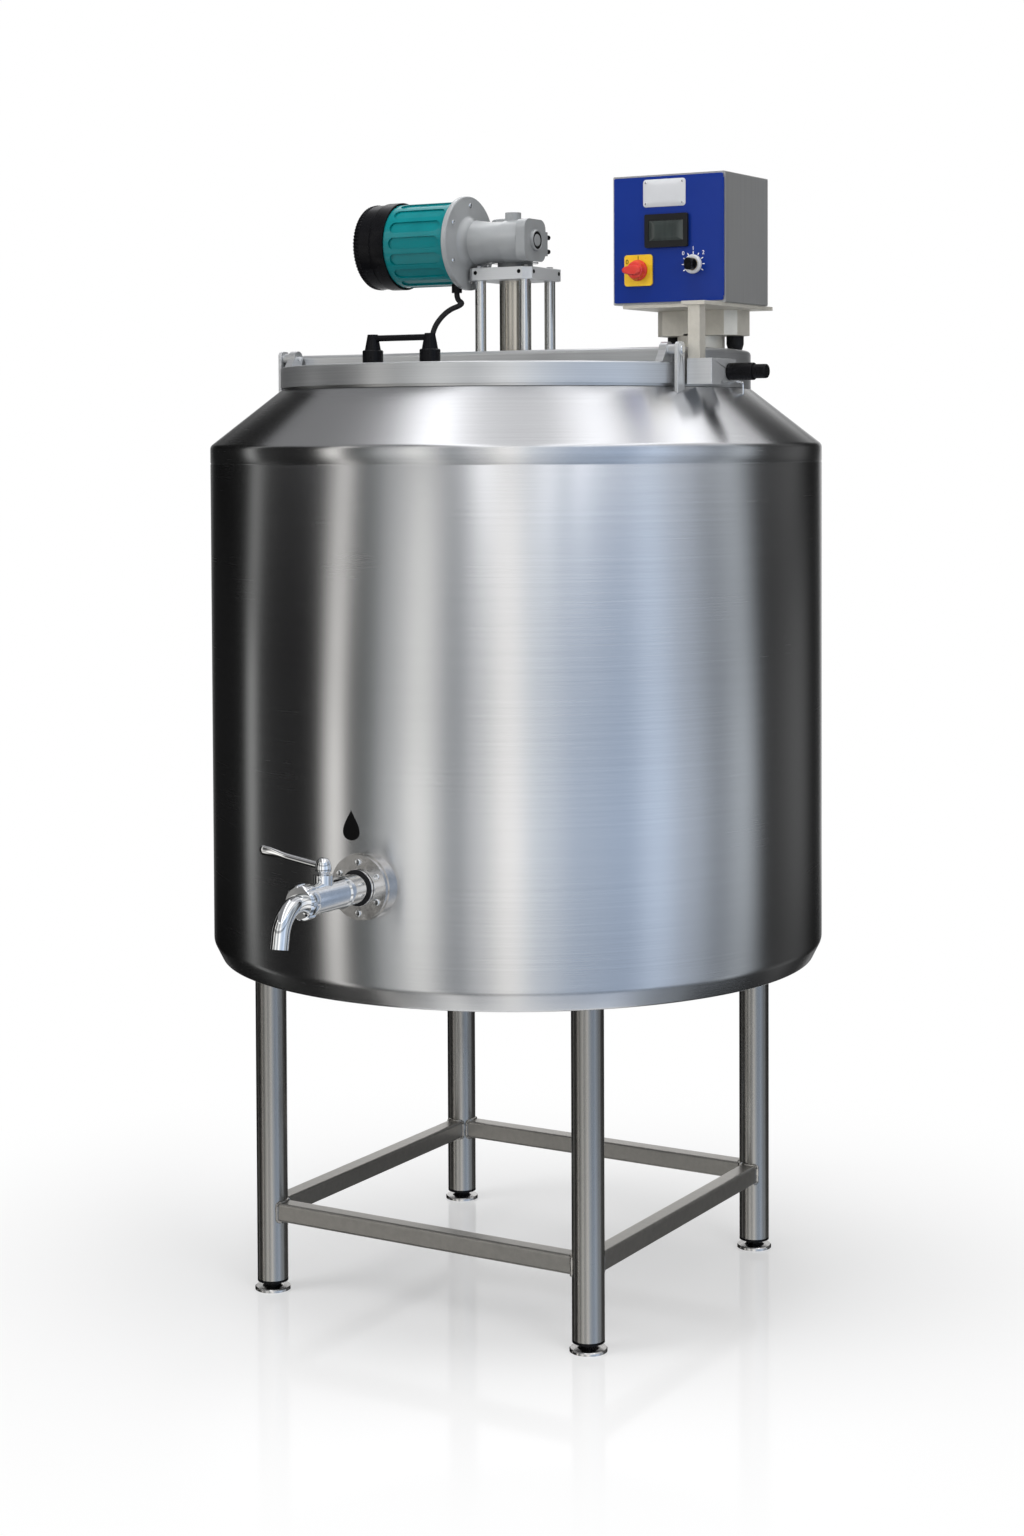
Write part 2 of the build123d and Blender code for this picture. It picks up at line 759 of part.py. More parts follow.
def make_rear_cover():
    """Raised fixed cover with a riser along the hinge line and a ledge for the lid's seal."""
    cover = upright(neck_radius, neck_height, cover_top)
    cover &= block((-neck_radius, neck_radius), (riser_y, neck_radius), (neck_height, cover_top))
    cover = fillet(cover.faces().sort_by(Axis.Z)[-1].edges(), cover_edge_round)
    hollow = upright(neck_radius - cover_sheet, neck_height - 1.0, cover_top - cover_sheet)
    hollow &= block((-neck_radius, neck_radius), (riser_y + cover_sheet, neck_radius),
                    (neck_height - 1.0, cover_top - cover_sheet))
    cover -= fillet(hollow.faces().sort_by(Axis.Z)[-1].edges(), cover_edge_round - cover_sheet)
    ledge = upright(mouth_radius - ledge_gap, neck_ring_top - cover_sheet, neck_ring_top)
    cover += ledge & block((-neck_radius, neck_radius), (riser_y - ledge_depth, riser_y + cover_sheet),
                           (neck_ring_top - cover_sheet, neck_ring_top))
    cover -= upright_tube(neck_ring_outer + ledge_gap, mouth_radius - ledge_gap, neck_height - 1.0,
                          neck_ring_top + ledge_gap)
    cover -= upright(shaft_radius + shaft_hole_gap, neck_height, cover_top + 1.0)
    return cover - upright(probe_radius, neck_height, cover_top + 1.0, *hub_place)


# Motor stand and agitator

def make_stand_pillars():
    return four_corners(upright(pillar_radius, cover_top, stand_plate_bottom), pillar_spacing)


def make_motor_plate():
    plate = Pos(0, 0, stand_plate_bottom) * Box(stand_plate_size, stand_plate_size, stand_plate_thickness,
                                                align=FULL_UP)
    plate = chamfer(plate.edges().filter_by(Axis.Z), stand_plate_corner)
    plate = fillet(plate.faces().sort_by(Axis.Z)[-1].edges(), 1.5)
    return plate - upright(shaft_radius + shaft_hole_gap, stand_plate_bottom - 1.0, plate_top + 1.0)


def make_stand_screws():
    screw = Pos(0, 0, plate_top) * extrude(RegularPolygon(stand_screw_radius, 6), stand_screw_height)
    return four_corners(screw, pillar_spacing)


def make_shaft_tube():
    return upright_tube(shaft_tube_radius, shaft_tube_radius - shaft_tube_wall, cover_top, stand_plate_bottom)


def paddle_pair(height, turn):
    """Two pitched blades opposite each other on a hub, turned about the shaft."""
    hub = upright(paddle_hub_radius, height - paddle_hub_height / 2, height + paddle_hub_height / 2)
    for side in (0, 180):
        blade = Box(paddle_reach - paddle_hub_radius * 0.7, paddle_thickness, paddle_width)
        blade = fillet(blade.edges().filter_by(Axis.Y), 12.0)
        blade = Pos((paddle_reach + paddle_hub_radius * 0.7) / 2, 0, 0) * Rot(paddle_pitch, 0, 0) * blade
        hub += Pos(0, 0, height) * Rot(0, 0, side + turn) * blade
    return hub


def make_agitator():
    """Shaft with two pairs of pitched paddles, one pair turned a quarter against the other."""
    agitator = upright(shaft_radius, shaft_bottom, shaft_top)
    for number, height in enumerate(paddle_heights):
        agitator += paddle_pair(height, 90 * number + 20)
    return agitator


# Gearmotor

def make_gearbox_housing():
    """Worm gearbox case: a round wheel case, the stepped worm case across it and the end block."""
    start, neck, collar, end = worm_case_x
    case = upright(wheel_case_radius, case_bottom, case_bottom + case_height)
    case = fillet(case.edges().filter_by(GeomType.CIRCLE).sort_by(Axis.Z)[-1], case_edge_round)
    case += cone_along_x(neck_flare_radius, neck_case_radius, start, neck, worm_y, motor_axis_z)
    case += along_x(neck_case_radius, neck, collar, worm_y, motor_axis_z)
    case += along_x(collar_case_radius, collar, end, worm_y, motor_axis_z)
    end_face = RectangleRounded(end_block_size, end_block_size, end_block_corner)
    case += Pos(end, 0, 0) * extrude(Plane.YZ * (Pos(worm_y, motor_axis_z) * end_face), end_block_depth)
    lug_heights = (case_bolt_heights[0] - 2 * case_bolt_radius, case_bolt_heights[1] + 2 * case_bolt_radius)
    case += block(case_lug_x, (worm_y, case_lug_rear), lug_heights)
    case += upright(output_disc_radius, plate_top, case_bottom)
    case += upright(oil_plug_radius, motor_axis_z, oil_plug_top, oil_plug_x, worm_y)
    case -= upright(wheel_radius + wheel_room, case_bottom + case_wall, case_bottom + case_height - case_wall)
    case -= along_x(worm_chamber_radius, start + case_wall, end - case_wall, worm_y, motor_axis_z)
    case -= upright(shaft_radius + bearing_gap, plate_top - 1.0, shaft_top + shaft_end_gap)
    case -= along_x(motor_shaft_radius + bearing_gap, start - 1.0, end + shaft_end_gap, worm_y, motor_axis_z)
    return case


def make_gearbox_cap():
    cap = along_x(end_cap_radius, gearbox_end, gearbox_end + end_cap_depth, worm_y, motor_axis_z)
    return fillet(cap.edges().filter_by(GeomType.CIRCLE).sort_by(Axis.X)[-1], 1.5)


def make_gearbox_bolts():
    """Two bolt heads behind the lug of the end block."""
    return [backward(case_bolt_radius, case_lug_rear, case_lug_rear + case_bolt_length, case_bolt_x, z)
            for z in case_bolt_heights]


def make_worm_wheel():
    """Straight-toothed wheel with as many teeth as the gear's ratio. Its tips run just clear of the worm."""
    root = wheel_radius - tooth_height
    outer = wheel_radius - tip_gap / 2
    wheel = upright(root, motor_axis_z - wheel_width / 2, motor_axis_z + wheel_width / 2)
    pitch = 2 * pi * wheel_radius / wheel_teeth
    base = pitch * (1 - tooth_share) / 2
    tip = pitch * tooth_share / 2
    foot = tooth_root_sink - root
    tooth = make_face(Polyline((-base, foot), (base, foot), (tip, -outer), (-tip, -outer), close=True))
    for number in range(wheel_teeth):
        turn = Rot(0, 0, 360 * (number + 0.5) / wheel_teeth)
        wheel += turn * Pos(0, 0, motor_axis_z - wheel_width / 2) * extrude(tooth, wheel_width)
    return wheel - upright(shaft_radius, motor_axis_z - wheel_width, motor_axis_z + wheel_width)


def make_rotor():
    """Rotor core on the motor shaft, and the worm pressed on the shaft's end."""
    middle = (bell_front_x - bell_thickness + housing_end_x) / 2
    shaft = along_x(motor_shaft_radius, fan_end_x, worm_case_x[-1], worm_y, motor_axis_z)
    core = along_x(stator_bore - air_gap, middle - stator_length / 2, middle + stator_length / 2,
                   worm_y, motor_axis_z)
    pitch = 2 * pi * wheel_radius / wheel_teeth
    pitch_radius = worm_offset - wheel_radius
    root = pitch_radius - tooth_height
    outer = pitch_radius - tip_gap / 2
    base = pitch * (1 - tooth_share) / 2
    tip = pitch * tooth_share / 2
    worm = along_x(root, -worm_length / 2, worm_length / 2, worm_y, motor_axis_z)
    rings = int(worm_length / pitch / 2)
    for number in range(-rings, rings + 1):
        ring = revolved([(root - tooth_root_sink, number * pitch - base), (outer, number * pitch - tip),
                         (outer, number * pitch + tip), (root - tooth_root_sink, number * pitch + base)])
        worm += Pos(0, worm_y, motor_axis_z) * Rot(0, 90, 0) * ring
    worm -= along_x(motor_shaft_radius, -worm_length, worm_length, worm_y, motor_axis_z)
    return [shaft + core, worm]


def make_stator():
    middle = (bell_front_x - bell_thickness + housing_end_x) / 2
    start, end = middle - stator_length / 2, middle + stator_length / 2
    stator = along_x(housing_radius - housing_wall, start, end, worm_y, motor_axis_z)
    return stator - along_x(stator_bore, start - 1.0, end + 1.0, worm_y, motor_axis_z)


def make_motor_flange():
    """Grey bell flange: a rim at the motor and a hollow-sided flare down to the gearbox."""
    rear = bell_front_x - bell_thickness
    bell = along_x(bell_radius, rear, bell_front_x, worm_y, motor_axis_z)
    bell = fillet(bell.edges().filter_by(GeomType.CIRCLE), bell_edge_round)
    length = gearbox_face - bell_front_x
    drop = bell_flare_radius - neck_flare_radius
    middle = (neck_flare_radius + 0.2 * drop, 0.35 * length)
    side = ThreePointArc((bell_flare_radius, 0), middle, (neck_flare_radius, length))
    outline = Polyline((neck_flare_radius, length), (0, length), (0, -bell_thickness / 2),
                       (bell_flare_radius, -bell_thickness / 2), (bell_flare_radius, 0))
    flare = revolve(Plane.XZ * make_face(Wire([side.edge(), *outline.edges()])), Axis.Z)
    bell += Pos(bell_front_x, worm_y, motor_axis_z) * Rot(0, 90, 0) * flare
    bell -= along_x(motor_shaft_radius + bearing_gap, rear - 1.0, gearbox_face + 1.0, worm_y, motor_axis_z)
    return bell


def make_motor_housing():
    """Round housing with a ring of long recesses, which leave ribs between them."""
    front = bell_front_x - bell_thickness
    housing = along_x(housing_radius, housing_end_x, front, worm_y, motor_axis_z)
    housing -= along_x(housing_radius - housing_wall, housing_end_x + housing_wall, front + 1.0,
                       worm_y, motor_axis_z)
    housing -= along_x(motor_shaft_radius + bearing_gap, housing_end_x - 1.0, front, worm_y, motor_axis_z)
    middle = (housing_end_x + front) / 2
    recess = Pos(middle, 0, housing_radius - recess_depth) * extrude(SlotOverall(recess_length, recess_width),
                                                                    2 * recess_depth)
    for number in range(recess_count):
        turn = Rot(90 + 360 * number / recess_count, 0, 0)
        housing -= Pos(0, worm_y, motor_axis_z) * turn * recess
    return housing


def make_fan_cover():
    """Cover with a rounded end and a ring of air slots through it."""
    dome, wall = fan_cover_dome, fan_cover_wall
    outer, length = fan_cover_radius, housing_end_x - fan_cover_end_x
    profile = Polyline((0, 0), (outer, 0), (outer, length - dome))
    bulge = 0.3 * dome
    curve = ThreePointArc((outer, length - dome), (outer - bulge, length - bulge), (outer - dome, length))
    face = make_face(Wire([*profile.edges(), *curve.edges(), Line((outer - dome, length), (0, length)).edge(),
                           Line((0, length), (0, 0)).edge()]))
    cover = revolve(Plane.XZ * face, Axis.Z)
    inside = upright(outer - wall, -1.0, length - dome)
    inside += Pos(0, 0, length - dome) * Cone(outer - wall, outer - dome, dome - wall, align=FULL_UP)
    cover -= inside
    slot = Box(outer - fan_slot_inner, fan_slot_width, 2 * dome)
    slot = Pos((outer + fan_slot_inner) / 2 + wall, 0, length) * slot
    for number in range(fan_slot_count):
        cover -= Rot(0, 0, 360 * number / fan_slot_count) * slot
    return Pos(housing_end_x, worm_y, motor_axis_z) * Rot(0, -90, 0) * cover


def make_cooling_fan():
    fan = along_x(fan_hub_radius, fan_end_x, fan_end_x + fan_length, worm_y, motor_axis_z)
    for number in range(fan_blades):
        blade = block((fan_end_x, fan_end_x + fan_length), (-fan_blade_thickness / 2, fan_blade_thickness / 2),
                      (fan_hub_radius - 2.0, fan_radius))
        fan += Pos(0, worm_y, motor_axis_z) * Rot(360 * number / fan_blades, 0, 0) * blade
    fan -= along_x(motor_shaft_radius, fan_end_x - 1.0, fan_end_x + fan_length + 1.0, worm_y, motor_axis_z)
    return fan


def run_radii(points, share=0.45):
    """Arc radius for each corner: a share of the shorter run over the tangent of half the turn."""
    radii = []
    for before, corner, after in zip(points, points[1:], points[2:]):
        first, second = Vector(*corner) - Vector(*before), Vector(*after) - Vector(*corner)
        turn = radians(first.get_angle(second))
        radii.append(share * min(first.length, second.length) / tan(turn / 2))
    return radii


def make_motor_cable():
    """Round cable from the motor's gland down to the gland on the rear cover."""
    path = FilletPolyline(*cable_points, radius=run_radii(cable_points))
    section = Plane(origin=path @ 0, z_dir=path % 0) * Circle(cable_radius)
    return sweep(section, path)


def make_cable_glands():
    start, end = cable_points[0], cable_points[-1]
    upper = upright(gland_radius, start[2], motor_axis_z - housing_radius + 6.0, start[0], start[1])
    upper -= along_x(housing_radius, housing_end_x, bell_front_x - bell_thickness, worm_y, motor_axis_z)
    lower = upright(gland_radius, cover_top, end[2], end[0], end[1])
    lower += Pos(end[0], end[1], cover_top) * extrude(RegularPolygon(gland_nut_radius, 6), gland_nut_height)
    return [upper, lower]


# Control box

def make_control_box():
    """Welded box with a return lip round its open front."""
    box_y = (box_front, box_front + box_depth)
    box = block((box_left, box_right), box_y, (box_bottom, box_top))
    box = fillet(box.edges().filter_by(Axis.Y), 2.0)
    t = box_sheet
    box -= block((box_left + t, box_right - t), (box_front + t, box_y[1] - t), (box_bottom + t, box_top - t))
    box -= block((box_left + box_lip, box_right - box_lip), (box_front - 1.0, box_front + 2 * t),
                 (box_bottom + box_lip, box_top - box_lip))
    return box


def make_control_door():
    """Flat door with the barrel of its hinge along the right edge."""
    m = door_margin
    door = block((box_left + m, box_right - m), (door_front, door_front + door_thickness),
                 (box_bottom + m, box_top - m))
    door = fillet(door.edges().filter_by(Axis.Y), 3.0)
    return door + upright(door_barrel_radius, box_bottom + door_barrel_inset, box_top - door_barrel_inset,
                          box_right - m, door_front + door_thickness / 2)


def front_panel(center, size, depth, corner):
    """Rounded plate on the door, given by its centre in X and Z."""
    face = Pos(center[0], center[1]) * RectangleRounded(size[0], size[1], corner)
    return extrude(Plane.XZ.offset(-door_front) * face, depth)


def make_display():
    bezel = front_panel(display_center, display_size, display_depth, 3.0)
    window = (display_size[0] - 14.0, display_size[1] - 20.0)
    cut = Pos(0, -display_depth + 1.5, 0) * front_panel(display_center, window, display_depth, 1.5)
    return bezel - cut


def make_control_bezels():
    """Square plate of the main switch and the round ring of the selector."""
    plate = front_panel(switch_center, (switch_plate_size, switch_plate_size), switch_plate_depth, 5.0)
    ring = outward(selector_ring_radius, -door_front, -door_front + selector_ring_depth, *selector_center)
    ring = chamfer(ring.edges().filter_by(GeomType.CIRCLE).sort_by(Axis.Y)[0], 1.5)
    return [plate, ring]


def make_main_switch():
    """Red rotary handle: a round hub with a long grip to one side."""
    start = -door_front + switch_plate_depth + control_turn_gap
    x, z = switch_center
    hub = outward(switch_hub_radius, start, start + switch_hub_depth, x, z)
    grip = Pos(x - switch_grip_length / 4, -start, z) * Rot(90, 0, 0) * extrude(
        SlotOverall(switch_grip_length, switch_grip_width), switch_hub_depth + 5.0)
    return hub + grip


def make_selector_knob():
    start = -door_front + selector_ring_depth + control_turn_gap
    x, z = selector_center
    knob = outward(selector_radius, start, start + selector_depth, x, z)
    knob = chamfer(knob.edges().filter_by(GeomType.CIRCLE).sort_by(Axis.Y)[0], 2.0)
    side = 2 * selector_radius
    for sign in (-1, 1):
        flat = Box(side * 0.6, selector_depth, 3 * side)
        knob -= Pos(x + sign * side * 0.62, -start - selector_depth * 0.75, z) * flat
    return knob


def make_control_gear():
    """Rail with a contactor and terminals on the rear wall of the box."""
    rear = box_front + box_depth - box_sheet
    front_of_rail = rear - gear_rail[1]
    pieces = []
    for (x_range, depth, z_range), back in ((gear_rail, rear), (gear_contactor, front_of_rail),
                                            (gear_terminals, front_of_rail)):
        across = [box_left + x for x in x_range]
        pieces.append(block(across, (back - depth, back), [box_bottom + z for z in z_range]))
    return pieces


# Box support

def make_box_pole():
    """Square tube with the plate that carries the box welded on its top."""
    half = pole_size / 2
    plate_bottom = box_bottom - top_plate_thickness
    pole = block((pole_x - half, pole_x + half), (pole_y - half, pole_y + half), (pole_bottom, plate_bottom))
    inner = half - pole_wall
    pole -= block((pole_x - inner, pole_x + inner), (pole_y - inner, pole_y + inner),
                  (pole_bottom, plate_bottom))
    plate = block((pole_x - arm_width / 2, pole_x + arm_width / 2), (pole_y - half - 4.0, box_front + 1.0),
                  (plate_bottom, box_bottom))
    plate += block((tray_x[0], pole_x + arm_width / 2), (box_front, tray_y[1]), (plate_bottom, box_bottom))
    return pole + plate


def make_support_tray():
    """Folded tray with cut corners under the box, on a short round hub."""
    middle = (sum(tray_x) / 2, sum(tray_y) / 2)
    width, depth = tray_x[1] - tray_x[0], tray_y[1] - tray_y[0]
    top = box_bottom - top_plate_thickness
    tray = Pos(*middle, tray_bottom) * Box(width, depth, top - tray_bottom, align=FULL_UP)
    tray = chamfer(tray.edges().filter_by(Axis.Z), tray_corner)
    inside = Pos(*middle, tray_bottom + tray_wall) * Box(width - 2 * tray_wall, depth - 2 * tray_wall,
                                                         top - tray_bottom, align=FULL_UP)
    tray -= chamfer(inside.edges().filter_by(Axis.Z), tray_corner - 0.6 * tray_wall)
    tray += upright(hub_radius, cover_top, tray_bottom, *hub_place)
    return tray - upright(hub_radius - hub_wall, cover_top - 1.0, tray_bottom + tray_wall + 1.0, *hub_place)


def make_support_buffers():
    buffers = []
    for x, y in buffer_places:
        lower = Pos(x, y, cover_top) * Cone(buffer_base_radius, buffer_top_radius, 10.0, align=FULL_UP)
        buffers.append(lower + upright(buffer_top_radius, cover_top + 10.0, tray_bottom, x, y))
    return buffers


def make_pole_bracket():
    """C-shaped bracket round the foot of the pole, welded to the rear cover."""
    t = bracket_sheet
    heights = (bracket_bottom, bracket_top)
    bracket = block((bracket_left, bracket_outer), (bracket_front, bracket_front + t), heights)
    bracket += block((bracket_outer - t, bracket_outer), (bracket_front, bracket_rear), heights)
    bracket += block((neck_radius - 20.0, bracket_outer), (bracket_rear - t, bracket_rear), heights)
    bracket += block((bracket_left, bracket_outer), (bracket_front, pole_y + pole_size),
                     (bracket_bottom - t, bracket_bottom))
    bracket -= upright(neck_radius, bracket_bottom - 2 * t, bracket_top + 1.0)
    hole = grip_stud_radius + control_turn_gap / 6
    return bracket - along_x(hole, bracket_outer - 2 * t, bracket_outer + 1.0, grip_y, grip_z)


def make_clamp_grip():
    """Black turning grip with its stud through the bracket."""
    start = bracket_outer + control_turn_gap
    grip = along_x(grip_radius, start, start + grip_length, grip_y, grip_z)
    cap = along_x(grip_cap_radius, start + grip_length, start + grip_length + grip_cap_length, grip_y, grip_z)
    cap = fillet(cap.edges().filter_by(GeomType.CIRCLE).sort_by(Axis.X)[-1], 3.0)
    grip = fillet(grip.edges().filter_by(GeomType.CIRCLE), 1.5)
    return grip + cap + along_x(grip_stud_radius, start - grip_stud_length, start + 5.0, grip_y, grip_z)


def make_temperature_probe():
    probe = upright(probe_radius, probe_bottom, cover_top, *hub_place)
    return probe + upright(probe_head_radius, cover_top, cover_top + 20.0, *hub_place)


feet = make_feet()

NODES = {
    "outer_shell": make_outer_shell(),
    "inner_vessel": make_inner_vessel(),
    "neck_ring": make_neck_ring(),
    "jacket_shell": make_jacket_shell(),
    "insulation": make_insulation(),
    "outlet_tube": make_outlet_tube(),
    "jacket_ports": make_jacket_ports(),
    "heating_elements": make_heating_elements(),
    "legs": make_legs(),
    "stretchers": make_stretchers(),
    "leg_inserts": make_leg_inserts(),
    "foot_front_left": feet[0],
    "foot_front_right": feet[1],
    "foot_rear_right": feet[2],
    "foot_rear_left": feet[3],
    "tap_flange": make_tap_flange(),
    "tap_screws": make_tap_screws(),
    "tap_seal": make_tap_seal(),
    "tap_body": make_tap_body(),
    "tap_nut": make_tap_nut(),
    "tap_spout": make_tap_spout(),
    "tap_ball": make_tap_ball(),
    "tap_knob": make_tap_knob(),
    "tap_lever": make_tap_lever(),
    "front_lid": make_front_lid(),
    "lid_seal": make_lid_seal(),
    "lid_handle": make_lid_handle(),
    "hinge_ears": make_hinge_ears(),
    "hinge_pins": make_hinge_pins(),
    "rear_cover": make_rear_cover(),
    "stand_pillars": make_stand_pillars(),
    "motor_plate": make_motor_plate(),
    "stand_screws": make_stand_screws(),
    "shaft_tube": make_shaft_tube(),
    "agitator": make_agitator(),
    "gearbox_housing": make_gearbox_housing(),
    "gearbox_cap": make_gearbox_cap(),
    "gearbox_bolts": make_gearbox_bolts(),
    "worm_wheel": make_worm_wheel(),
    "rotor": make_rotor(),
    "stator": make_stator(),
    "motor_flange": make_motor_flange(),
    "motor_housing": make_motor_housing(),
    "fan_cover": make_fan_cover(),
    "cooling_fan": make_cooling_fan(),
    "motor_cable": make_motor_cable(),
    "cable_glands": make_cable_glands(),
    "control_box": make_control_box(),
    "control_door": make_control_door(),
    "display": make_display(),
    "control_bezels": make_control_bezels(),
    "main_switch": make_main_switch(),
    "selector_knob": make_selector_knob(),
    "control_gear": make_control_gear(),
    "box_pole": make_box_pole(),
    "support_tray": make_support_tray(),
    "support_buffers": make_support_buffers(),
    "pole_bracket": make_pole_bracket(),
    "clamp_grip": make_clamp_grip(),
    "temperature_probe": make_temperature_probe(),
}

os.makedirs("parts", exist_ok=True)
for name, shape in NODES.items():
    solids = shape if isinstance(shape, list) else [shape]
    pieces = [piece for entry in solids for piece in entry.solids()]
    export_step(Compound(children=pieces), f"parts/{name}.step")
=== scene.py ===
"""Render scene of the batch milk pasteurizer.

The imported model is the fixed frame. Each sub-assembly is a class that dresses its own solids and adds the
pieces that the solids leave out. Metres, origin on the floor under the vessel's axis, the tap at the front.
"""
from __future__ import annotations

import logging
from dataclasses import dataclass, field
from enum import Enum
from math import cos, pi, radians, sin
from typing import Callable, ClassVar, Sequence, Union

import bmesh
import bpy
import numpy as np
from mathutils import Matrix, Vector

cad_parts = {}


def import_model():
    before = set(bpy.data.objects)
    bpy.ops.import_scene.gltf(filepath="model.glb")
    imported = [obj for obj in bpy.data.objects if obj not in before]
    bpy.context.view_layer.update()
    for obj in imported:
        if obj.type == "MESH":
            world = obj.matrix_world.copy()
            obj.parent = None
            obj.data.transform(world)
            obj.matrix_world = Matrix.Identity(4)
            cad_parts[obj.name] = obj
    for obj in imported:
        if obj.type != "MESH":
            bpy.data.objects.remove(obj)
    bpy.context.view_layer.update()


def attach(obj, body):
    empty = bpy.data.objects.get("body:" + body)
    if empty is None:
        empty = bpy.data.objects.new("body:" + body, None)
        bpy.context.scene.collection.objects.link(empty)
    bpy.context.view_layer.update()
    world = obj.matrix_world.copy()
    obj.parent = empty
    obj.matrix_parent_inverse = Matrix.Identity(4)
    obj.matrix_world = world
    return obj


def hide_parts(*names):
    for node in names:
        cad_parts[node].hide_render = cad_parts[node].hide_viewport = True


LOG = logging.getLogger("pasteurizer")
Color = tuple[float, float, float]
Point = tuple[float, float, float]
Pair = tuple[float, float]
Grid = tuple[np.ndarray, bool, bool]
Placing = Callable[[np.ndarray, np.ndarray], np.ndarray]
Socket = bpy.types.NodeSocket
Value = Union[Socket, float, Sequence[float]]
Drive = tuple[Socket, float, float]

WHITE = (1.0, 1.0, 1.0, 1.0)
CREASE = radians(38)
SPLIT = radians(32)
MERGE = 0.000002


class Grain(Enum):
    """Direction of the brushing, as the scale of its noise along X, Y and Z."""

    ROUND = (2.0, 2.0, 900.0)
    UPRIGHT = (700.0, 700.0, 3.0)
    ALONG_X = (3.0, 700.0, 700.0)
    MIXED = (90.0, 90.0, 90.0)


class Axis(Enum):
    """Axis of a turned piece, as the frame (across, up, along)."""

    X = ((0, 1, 0), (0, 0, 1), (1, 0, 0))
    FRONT = ((1, 0, 0), (0, 0, 1), (0, -1, 0))
    Z = ((1, 0, 0), (0, 1, 0), (0, 0, 1))


# Node building


class Nodes:
    """Node tree of a material or a world, with each node added and joined in one call."""

    def __init__(self, owner: bpy.types.Material | bpy.types.World) -> None:
        """Open a node tree.

        Args:
            owner: the material or world that it belongs to.
        """
        self.owner = owner
        owner.use_nodes = True
        self.tree = owner.node_tree

    def feed(self, node: bpy.types.Node, inputs: dict[int | str, Value]) -> None:
        """Link sockets to a node's inputs, and set plain values on them.

        Args:
            node: the node.
            inputs: number or name of each input, with underscores for spaces, and what goes into it.
        """
        for key, value in inputs.items():
            target = node.inputs[key.replace("_", " ") if isinstance(key, str) else key]
            if isinstance(value, bpy.types.NodeSocket):
                self.tree.links.new(value, target)
            else:
                target.default_value = value

    def add(self, kind: str, *first: Value, out: int | str = 0, settings: dict[str, object] | None = None,
            **named: Value) -> Socket:
        """Add a node, set its properties and feed its inputs.

        Args:
            kind: the node's type.
            first: what goes into its first inputs, in order.
            out: number or name of the output to give back.
            settings: the node's own properties.
            named: what goes into its inputs by name.

        Returns:
            The chosen output.
        """
        node = self.tree.nodes.new(kind)
        for key, value in (settings or {}).items():
            setattr(node, key, value)
        self.feed(node, {**dict(enumerate(first)), **named})
        return node.outputs[out]

    def ramp(self, source: Socket, stops: Sequence[tuple[float, Color]], blend: str = "LINEAR") -> Socket:
        """Colour ramp.

        Args:
            source: what drives it.
            stops: place and colour of each stop, from 0 to 1.
            blend: how it runs between the stops.

        Returns:
            The ramp's colour.
        """
        color = self.add("ShaderNodeValToRGB", source)
        ramp = color.node.color_ramp
        ramp.interpolation = blend
        while len(ramp.elements) < len(stops):
            ramp.elements.new(0.5)
        for element, (place, tone) in zip(ramp.elements, stops):
            element.position = place
            element.color = (*tone, 1.0)
        return color


class Sheet(Nodes):
    """A material under construction, with the shader that ends it."""

    def __init__(self, name: str) -> None:
        """Start a material with one Principled shader.

        Args:
            name: the material's name.
        """
        super().__init__(bpy.data.materials.new(name))
        self.shader = self.tree.nodes["Principled BSDF"]
        self.place = self.add("ShaderNodeTexCoord", out="Object")

    def set(self, **inputs: Value) -> None:
        """Link or set the shader's own sockets, named with underscores for spaces."""
        self.feed(self.shader, inputs)

    def noise(self, scale: Sequence[float], detail: float = 3.0, roughness: float = 0.55) -> Socket:
        """Noise on Object coordinates, its scale the cycles for each metre along X, Y and Z."""
        placed = self.add("ShaderNodeMapping", self.place, Scale=tuple(scale))
        return self.add("ShaderNodeTexNoise", Vector=placed, Scale=1.0, Detail=detail, Roughness=roughness)

    def even(self, scale: float, detail: float = 3.0, roughness: float = 0.55) -> Socket:
        """Noise with the same scale along every axis."""
        return self.noise((scale, scale, scale), detail, roughness)

    def tint(self, source: Socket, dark: Color, light: Color) -> None:
        """Lay a colour between two tones on the shader, driven by noise."""
        self.set(Base_Color=self.ramp(source, ((0.35, dark), (0.65, light))))

    def cover(self, color: Color, tone: Drive, gloss: Drive | None = None, relief: Drive | None = None,
              **inputs: Value) -> None:
        """Lay a whole finish on the shader.

        Args:
            color: its colour.
            tone: noise, and factors of the colour where it is low and where it is high.
            gloss: noise, and roughness where it is low and where it is high.
            relief: height map, its depth in metres and its strength.
            inputs: the shader's other inputs, named with underscores for spaces.
        """
        self.tint(tone[0], shade(color, tone[1]), shade(color, tone[2]))
        if gloss:
            inputs["Roughness"] = self.add("ShaderNodeMapRange", gloss[0], From_Min=0.3, From_Max=0.7,
                                           To_Min=gloss[1], To_Max=gloss[2])
        if relief:
            inputs["Normal"] = self.add("ShaderNodeBump", Height=relief[0], Distance=relief[1],
                                        Strength=relief[2])
        self.set(**inputs)


def shade(color: Color, factor: float) -> Color:
    """Colour made darker or lighter by a factor."""
    return tuple(min(1.0, part * factor) for part in color)


@dataclass(frozen=True)
class Finish:
    """Base of every finish: a name, a colour and the record's slot of its pieces, where the name isn't it."""

    name: str
    color: Color
    slot: str = field(default="", kw_only=True)

    def build(self) -> bpy.types.Material:
        """Make the material.

        Returns:
            The material, with the finish laid on its shader.
        """
        sheet = Sheet(self.name)
        self.lay(sheet)
        return sheet.owner

    def lay(self, sheet: Sheet) -> None:
        """Lay the finish on a material under construction."""
        raise NotImplementedError


